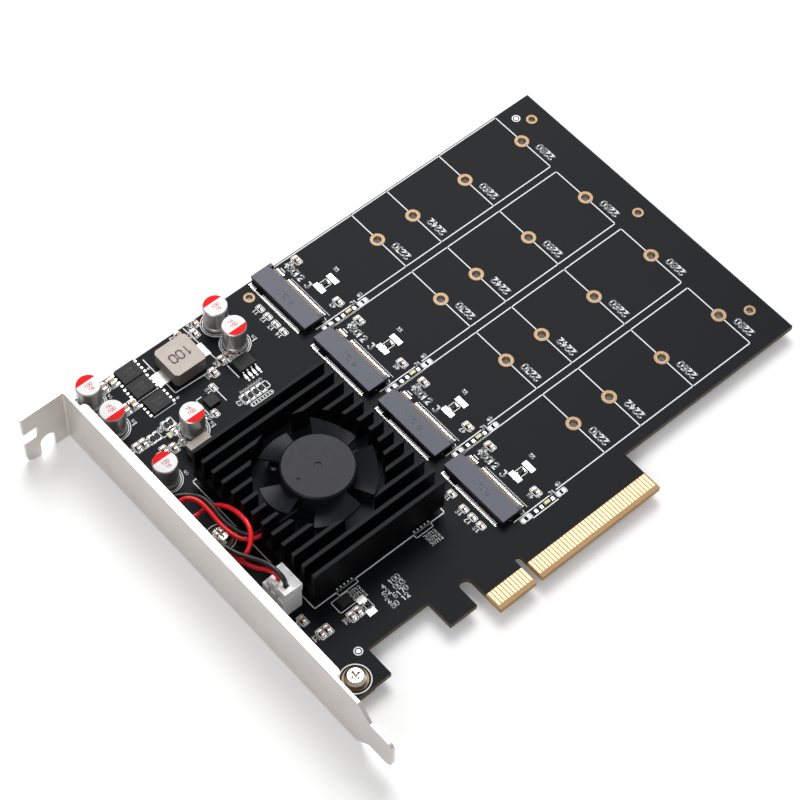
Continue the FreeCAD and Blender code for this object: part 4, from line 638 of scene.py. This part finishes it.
def print_cans(marks):
    """Two rings round each can, as far as the board's top edge allows, with a digit and a short line."""
    for (x, y), side in CANS:
        for inner, outer in CAN_PRINT_RINGS:
            reach = math.degrees(math.asin(min(1.0, (EDGE - y) / outer)))
            marks.ring(x, y, inner, outer, start=180.0 - reach, end=360.0 + reach)
        marks.number("5", x + CAN_DIGIT[0], y + CAN_DIGIT[1], *CAN_STYLE)
        dash = y + CAN_DASH_UP * side
        marks.line((x + CAN_DASH_LEFT, dash), (x + CAN_DASH_RIGHT, dash))


# Left and right end of the two small groups by the heatsink's lower edge.
LOWER_GROUPS = ((-44.4, -38.6), (-20.5, -15.2))
GROUP_LOW, GROUP_HIGH = 0.4, 1.5
GROUP_MARK_ROW, GROUP_MARK_PITCH, GROUP_MARK = 2.1, 1.1, 0.45
GROUP_NUMBER_ROW, GROUP_NUMBER_PITCH = -0.7, 1.25


def print_lower_groups(marks):
    """A box, a row of marks and three lines of digits by each end of the heatsink's lower edge."""
    for left, right in LOWER_GROUPS:
        marks.outline(left, GROUP_LOW, right, GROUP_HIGH, FINE_LINE)
        for step in range(5):
            marks.bar(left + 0.7 + step * GROUP_MARK_PITCH, GROUP_MARK_ROW, GROUP_MARK, GROUP_MARK)
        for row in range(3):
            y = GROUP_NUMBER_ROW - GROUP_NUMBER_PITCH * row
            marks.number("30712", (left + right) / 2 + 0.6, y, *GROUP_STYLE)


# Lines of plain digits below the heatsink, each lower and a little further left than the last.
BOARD_WORDS = ("4 100", "52 003", "2 6170", "80 12")
WORDS_PLACE, WORDS_STEP = (-32.9, -4.4), (0.5, 1.75)


def print_words(marks):
    for row, words in enumerate(BOARD_WORDS):
        marks.number(words, WORDS_PLACE[0] - WORDS_STEP[0] * row, WORDS_PLACE[1] - WORDS_STEP[1] * row,
                     *WORDS_STYLE)


# The eight-lead chip: its first lead, and the two rows of pads under its leads.
CHIP_FIRST_LEAD, CHIP_LEAD_ROWS, CHIP_PAD = -22.2, (62.2, 68.6), (0.6, 1.5)
CHIP_DOT_ROW, CHIP_DOT = 60.9, 0.32
CHIP_LINE = ((-23.6, 63.2), (-23.6, 67.6))


def print_eight_lead_chip(marks, pads):
    """Four pads and four dots below the chip, four pads above it, and a line on its left."""
    for step in range(4):
        x = CHIP_FIRST_LEAD + LEAD_PITCH * step
        for y in CHIP_LEAD_ROWS:
            pads.bar(x, y, *CHIP_PAD)
        marks.disc(x, CHIP_DOT_ROW, CHIP_DOT, steps=10)
    marks.line(*CHIP_LINE)


# One module bay, in millimetres right of the datum and above the socket's centre line.
BAY_HALF, BAY_RIGHT = 11.1, 80.0
BAY_LINE_LEFT = {-1: 14.0, 1: 4.5}
BAY_MARKS, BAY_MARK_X, BAY_FIRST_MARK, BAY_MARK_PITCH, BAY_MARK = 30, 5.35, 4.5, 0.5, (0.24, 0.3)
BAY_LINES = [((5.4, 8.8), (5.4, 7.4), 0.3), ((0.1, -11.3), (11.4, -11.3), LINE),
             ((4.5, -13.4), (12.4, -13.4), LINE)]
BAY_NUMBERS = [("12 3", 7.3, 2.6, SOCKET_STYLE), ("480", 7.3, 7.2, SOCKET_STYLE),
               ("31", 12.6, -11.0, BAY_STYLE), ("27", 3.4, -10.3, BAY_STYLE), ("5", 9.4, -9.6, BAY_STYLE),
               ("40", 15.2, -10.2, BAY_STYLE), ("22", 15.9, -0.4, BAY_SIDE_STYLE)]
BAY_BOXES = ((1.4, -13.1, 4.6, -11.7), (12.9, -13.1, 15.9, -11.7))
BAY_PADS = [(x, -12.4, 0.8, 0.9) for x in (2.1, 3.9, 6.2, 8.0, 11.6, 13.6, 15.2)]
BAY_PADS += [(x, -2.1, 1.5, 3.5) for x in (8.9, 13.3)]
MODULE_NUMBER = (2.25, -6.7)


def print_bay(marks, pads, y):
    """Outline, steps, plain numbers and empty pads of one module bay."""
    for step in range(BAY_MARKS):
        marks.bar(BAY_MARK_X, y + BAY_FIRST_MARK - BAY_MARK_PITCH * step, *BAY_MARK)
    for (x0, low), (x1, high), wide in BAY_LINES:
        marks.line((x0, y + low), (x1, y + high), wide)
    for words, x, low, style in BAY_NUMBERS:
        marks.number(words, x, y + low, *style)
    for x0, low, x1, high in BAY_BOXES:
        marks.outline(x0, y + low, x1, y + high, FINE_LINE)
    for x, low, wide, long in BAY_PADS:
        pads.bar(x, y + low, wide, long)
    for side, left in BAY_LINE_LEFT.items():
        edge = min(y + BAY_HALF * side, EDGE)
        marks.line((left, edge), (BAY_RIGHT, edge))
    top = min(y + BAY_HALF, EDGE)
    for x, words in MODULE_STEPS:
        marks.line((x, y - BAY_HALF), (x, y - STANDOFF_RING))
        marks.line((x, y + STANDOFF_RING), (x, top))
        marks.number(words, x + MODULE_NUMBER[0], y + MODULE_NUMBER[1], *MODULE_STYLE)


# Small parts: how far the printed box stands off, short side of an end's pad and its overhang at either
# side together, first number and its distance, and the widest gap between faces of one part.
BOX_MARGIN_X, BOX_MARGIN_Y = 0.5, 0.65
END_PAD, END_PAD_OVER = 0.75, 0.25
FIRST_NUMBER, NUMBER_GAP = 11, 1.4
TOUCH = 0.02


def box_round(boxes):
    """The smallest box round several, each as its left, low, right and high side."""
    left, low, right, high = zip(*boxes)
    return min(left), min(low), max(right), max(high)


def solid_boxes(*names):
    """Boxes, in board millimetres, of the separate small parts that the named nodes hold together."""
    joined = []
    for name in names:
        mesh = frame["nodes"][name].data
        for face in mesh.polygons:
            corners = [(mesh.vertices[index].co - GRID) / MM for index in face.vertices]
            box = box_round([(corner.x, corner.y, corner.x, corner.y) for corner in corners])
            touching = [other for other in joined
                        if all(box[axis] <= other[axis + 2] + TOUCH and other[axis] <= box[axis + 2] + TOUCH
                               for axis in (0, 1))]
            for other in touching:
                joined.remove(other)
            joined.append(box_round(touching + [box]))
    return joined


def print_small_parts(marks, pads):
    """A printed box, a plain number and two bright solder ends for every small part on the board."""
    boxes = solid_boxes("ceramic_capacitors", "ceramic_terminals") + solid_boxes("resistors")
    for index, (x0, y0, x1, y1) in enumerate(boxes):
        x, y, wide, long = (x0 + x1) / 2, (y0 + y1) / 2, x1 - x0, y1 - y0
        marks.outline(x0 - BOX_MARGIN_X, y0 - BOX_MARGIN_Y, x1 + BOX_MARGIN_X, min(y1 + BOX_MARGIN_Y, EDGE),
                      FINE_LINE)
        if long > wide:
            for end in (y0, min(y1, EDGE)):
                pads.bar(x, end, wide + END_PAD_OVER, END_PAD)
        else:
            for end in (x0, x1):
                pads.bar(end, y, END_PAD, long + END_PAD_OVER)
        marks.number(str(FIRST_NUMBER + index), x0 - NUMBER_GAP, y, *PART_STYLE)


def make_print(materials):
    """All white print as one piece, and all bare solder pads as another."""
    marks = Flat("board_print", materials["white_ink"], "solder_mask")
    pads = Flat("solder_pads", materials["tin"], "tin", PAD_HEIGHT, PAD_THICK)
    for box in (HEATSINK_OUTLINE, RESISTOR_OUTLINE):
        marks.outline(*box)
    for points in POWER_LINES:
        marks.path(points)
    marks.outline(*CLOCK_OUTLINE, FINE_LINE)
    print_contact_row(marks)
    print_transistors(marks, pads)
    print_round_marks(marks, pads)
    print_cans(marks)
    print_lower_groups(marks)
    print_words(marks)
    print_eight_lead_chip(marks, pads)
    for pad in LARGE_PADS:
        pads.bar(*pad)
    for y in SLOT_ROWS:
        print_bay(marks, pads, y)
    print_small_parts(marks, pads)
    marks.make()
    pads.make()


# ---------------------------------------------------------------- print on the parts

# Labels on the capacitor cans. The red stripe starts at a share of the label's radius, and the two numbers
# stand in rows, measured from the can's centre away from the stripe.
CAN_TOP = 8.0
LABEL_LIFT, LABEL_THICK, LABEL_RADIUS = 0.02, 0.03, 2.98
MARK_LIFT, MARK_THICK = 0.035, 0.02
STRIPE_START = 0.36
LABEL_WORDS, LABEL_STYLE = ("100", "16"), (0.85, 0, 0.13)
LABEL_WORD_ROW, LABEL_WORD_PITCH = -0.1, 1.25

# Print on the large inductor and on the power transistors.
PART_PRINT_LIFT, PART_PRINT_THICK = 0.03, 0.04
INDUCTOR_NUMBER = ("100", -32.2, 75.2, 2.5, 180, BOLD_LINE)
CHIP_TOP = 1.0
CHIP_CENTRES = ((-43.6, 81.3), (-43.9, 76.1), (-43.5, 70.0))
CHIP_WORDS, CHIP_STYLE = (("4030", 0.6), ("118", -0.8)), (0.8, 180, 0.1)


def make_can_tops(materials):
    """A pale label on every can's top, with a red stripe and two plain numbers."""
    labels = Flat("can_labels", materials["can_white"], "can_aluminium", CAN_TOP + LABEL_LIFT, LABEL_THICK)
    marks = Flat("can_marks", materials["red_ink"], "can_aluminium", CAN_TOP + MARK_LIFT, MARK_THICK)
    for (x, y), side in CANS:
        labels.disc(x, y, LABEL_RADIUS, steps=48)
        low, high = sorted((STRIPE_START * side, 1.0 * side))
        marks.disc_part(x, y, LABEL_RADIUS, low, high)
        for row, words in enumerate(LABEL_WORDS):
            marks.number(words, x, y + (LABEL_WORD_ROW - LABEL_WORD_PITCH * row) * side, *LABEL_STYLE)
    labels.make()
    marks.make()


def make_part_numbers(materials):
    """Plain numbers on the inductor and the power transistors."""
    inductor_top = (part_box("power_inductor")[1].z - GRID.z) / MM
    block = Flat("inductor_number", materials["dark_ink"], "inductor_block", inductor_top + PART_PRINT_LIFT,
                 PART_PRINT_THICK)
    block.number(*INDUCTOR_NUMBER)
    block.make()
    chips = Flat("chip_numbers", materials["grey_ink"], "chip_epoxy", CHIP_TOP + PART_PRINT_LIFT,
                 PART_PRINT_THICK)
    for x, y in CHIP_CENTRES:
        for words, above in CHIP_WORDS:
            chips.number(words, x, y + above, *CHIP_STYLE)
    chips.make()


# ---------------------------------------------------------------- sockets, plug and sleeve

# Blocks by their lowest and highest corners. The sockets' Y is from each socket's own centre line.
SOCKET_TOP = 2.3
SOCKET_BLOCKS = [
    (-3.0, -10.6, 1.45, 2.6, 10.6, SOCKET_TOP),
    (-2.9, -10.4, 0.1, 0.6, 10.4, 1.6),
    (0.4, -9.8, 0.0, 3.8, 9.8, 0.85),
    (2.2, -10.6, 0.0, 3.55, -9.5, SOCKET_TOP),
    (2.2, 9.5, 0.0, 3.55, 10.6, SOCKET_TOP),
]
CONTACTS, CONTACT_PITCH, FIRST_CONTACT = 38, 0.5, -9.3
KEY_GAP = (4.9, 6.4)
# Each contact's comb tooth, front tail and rear tail: where it is along X, and its length and width.
TOOTH_X, TOOTH = 3.15, (1.1, 0.2)
FRONT_X, FRONT_TAIL = 4.5, (0.6, 0.24)
REAR_X, REAR_TAIL = -4.1, (0.4, 0.2)
TOOTH_TOP, TOOTH_THICK, TAIL_THICK = 0.95, 0.12, 0.16
SOCKET_NUMBER_X, SOCKET_NUMBER_STYLE, SOCKET_NUMBER_LIFT = -0.3, (1.3, -90, 0.18), 0.03
SOCKET_BEVEL, RIM_BEVEL, SLEEVE_BEVEL = 0.12, 0.15, 0.6
PLUG_RIM = [
    (-54.75, 4.3, 8.5, -52.3, 11.6, 9.6),
    (-57.5, 4.3, 8.5, -54.6, 5.7, 9.6),
    (-57.5, 5.5, 8.5, -56.2, 7.2, 9.6),
    (-57.5, 7.9, 8.5, -56.2, 9.3, 9.6),
]
SLEEVE = [(-47.4, 20.95, 6.0, -37.6, 23.7, 7.5)]
CUBE_FACES = ((3, 2, 1, 0), (4, 5, 6, 7), (0, 1, 5, 4), (1, 2, 6, 5), (2, 3, 7, 6), (3, 0, 4, 7))


def block_piece(name, material, boxes, bevel):
    """Rounded blocks gathered into one mesh piece, each by its lowest and highest corners."""
    bm = bmesh.new()
    for x0, y0, z0, x1, y1, z1 in boxes:
        corners = ((x0, y0), (x1, y0), (x1, y1), (x0, y1))
        spots = [bm.verts.new(at(x, y, z)) for z in (z0, z1) for x, y in corners]
        for face in CUBE_FACES:
            bm.faces.new([spots[index] for index in face])
    bmesh.ops.bevel(bm, geom=bm.edges[:], offset=bevel * MM, segments=2, affect="EDGES", profile=0.5)
    mesh = bpy.data.meshes.new(name)
    bm.to_mesh(mesh)
    bm.free()
    return place_piece(name, mesh, material)


def make_sockets(materials):
    """Low-profile module sockets: a wide cover over a contact comb, with an ear at each end."""
    plastic = materials["socket_plastic"]
    combs = Flat("socket_combs", materials["ring_gold"], "gold", TOOTH_TOP, TOOTH_THICK)
    tails = Flat("socket_tails", materials["tin"], "tin", TAIL_THICK, TAIL_THICK)
    faint = Flat("socket_numbers", materials["socket_ink"], "socket_plastic", SOCKET_TOP + SOCKET_NUMBER_LIFT,
                 SOCKET_NUMBER_LIFT)
    for row, y in enumerate(SLOT_ROWS, 1):
        boxes = [(x0, y + low, z0, x1, y + high, z1) for x0, low, z0, x1, high, z1 in SOCKET_BLOCKS]
        piece = block_piece(f"socket_{row}", plastic, boxes, SOCKET_BEVEL)
        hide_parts(f"m2_connector_{row}")
        for step in range(CONTACTS):
            offset = FIRST_CONTACT + CONTACT_PITCH * step
            if not KEY_GAP[0] < offset < KEY_GAP[1]:
                combs.bar(TOOTH_X, y + offset, *TOOTH)
                tails.bar(FRONT_X, y + offset, *FRONT_TAIL)
            tails.bar(REAR_X, y + offset, *REAR_TAIL)
        faint.number("42016", SOCKET_NUMBER_X, y, *SOCKET_NUMBER_STYLE)
    for part in (combs, tails, faint):
        part.make()


def make_plug_and_sleeve(materials):
    """The raised rim of the fan plug round its wire window, and the wires' black sleeve at the fan."""
    block_piece("plug_rim", materials["white_plastic"], PLUG_RIM, RIM_BEVEL)
    block_piece("wire_sleeve", materials["black_sleeve"], SLEEVE, SLEEVE_BEVEL)


# ---------------------------------------------------------------- stage and light

FLOOR_HALF, FLOOR_GAP = 3.0, 0.0002
FLOOR_DARK, FLOOR_PALE = (0.86, 0.86, 0.86), (0.89, 0.89, 0.89)
FLOOR_GLOW = 0.14
WORLD_LIGHT = 0.4
# Square lamps that look at the row frame's origin: name, place and side in metres, power in watts.
LAMPS = (("key", (0.35, 0.45, 0.75), 0.6, 7.5), ("fill", (-0.7, -0.25, 0.55), 0.6, 2.2))


def floor_material():
    """Even white paper. It glows a little, but only where the camera, a gloss or a clear part sees it."""
    surface = Surface("floor_paper")
    drift = surface.noise(surface.object_space(), cell=60.0, detail=2.0)
    surface.feed("Base Color", surface.blend(drift, FLOOR_DARK, FLOOR_PALE))
    seen = surface.nodes.new("ShaderNodeLightPath")
    total = seen.outputs["Is Camera Ray"]
    for kind in ("Is Glossy Ray", "Is Transmission Ray"):
        total = surface.calculate("ADD", total, seen.outputs[kind], clamp=True)
    surface.feed("Emission Strength", surface.spread(total, 0.0, FLOOR_GLOW))
    surface.level("Emission Color", (1, 1, 1, 1))
    surface.level("Roughness", 0.9)
    return surface.material


def make_stage():
    mesh = bpy.data.meshes.new("floor")
    corners = [(x * FLOOR_HALF, y * FLOOR_HALF, 0) for x, y in ((-1, -1), (1, -1), (1, 1), (-1, 1))]
    mesh.from_pydata(corners, [], [(0, 1, 2, 3)])
    mesh.materials.append(floor_material())
    floor = bpy.data.objects.new("floor", mesh)
    floor.location = (0, 0, CAD_BOX[0][2] - FLOOR_GAP)
    bpy.context.scene.collection.objects.link(floor)


def make_light():
    world = bpy.data.worlds.new("studio")
    world.use_nodes = True
    background = world.node_tree.nodes["Background"]
    background.inputs["Color"].default_value = (1, 1, 1, 1)
    background.inputs["Strength"].default_value = WORLD_LIGHT
    bpy.context.scene.world = world
    for name, place, side, power in LAMPS:
        data = bpy.data.lights.new(name, "AREA")
        data.shape = "SQUARE"
        data.size = side
        data.energy = power
        lamp = bpy.data.objects.new(name, data)
        lamp.location = place
        lamp.rotation_euler = (-Vector(place)).to_track_quat("-Z", "Y").to_euler()
        bpy.context.scene.collection.objects.link(lamp)


# ---------------------------------------------------------------- the scene

make_camera()
materials = make_materials()
dress_nodes(materials)
make_wire("red_wire", "fan_wire_red", RED_ROUTE, materials["red_sleeve"])
make_wire("black_wire", "fan_wire_black", BLACK_ROUTE, materials["black_sleeve"])
make_hole_plating(materials)
make_tongue(materials)
make_print(materials)
make_can_tops(materials)
make_sockets(materials)
make_plug_and_sleeve(materials)
make_part_numbers(materials)
make_stage()
make_light()
bpy.context.scene.view_settings.view_transform = "Standard"

bpy.context.view_layer.update()
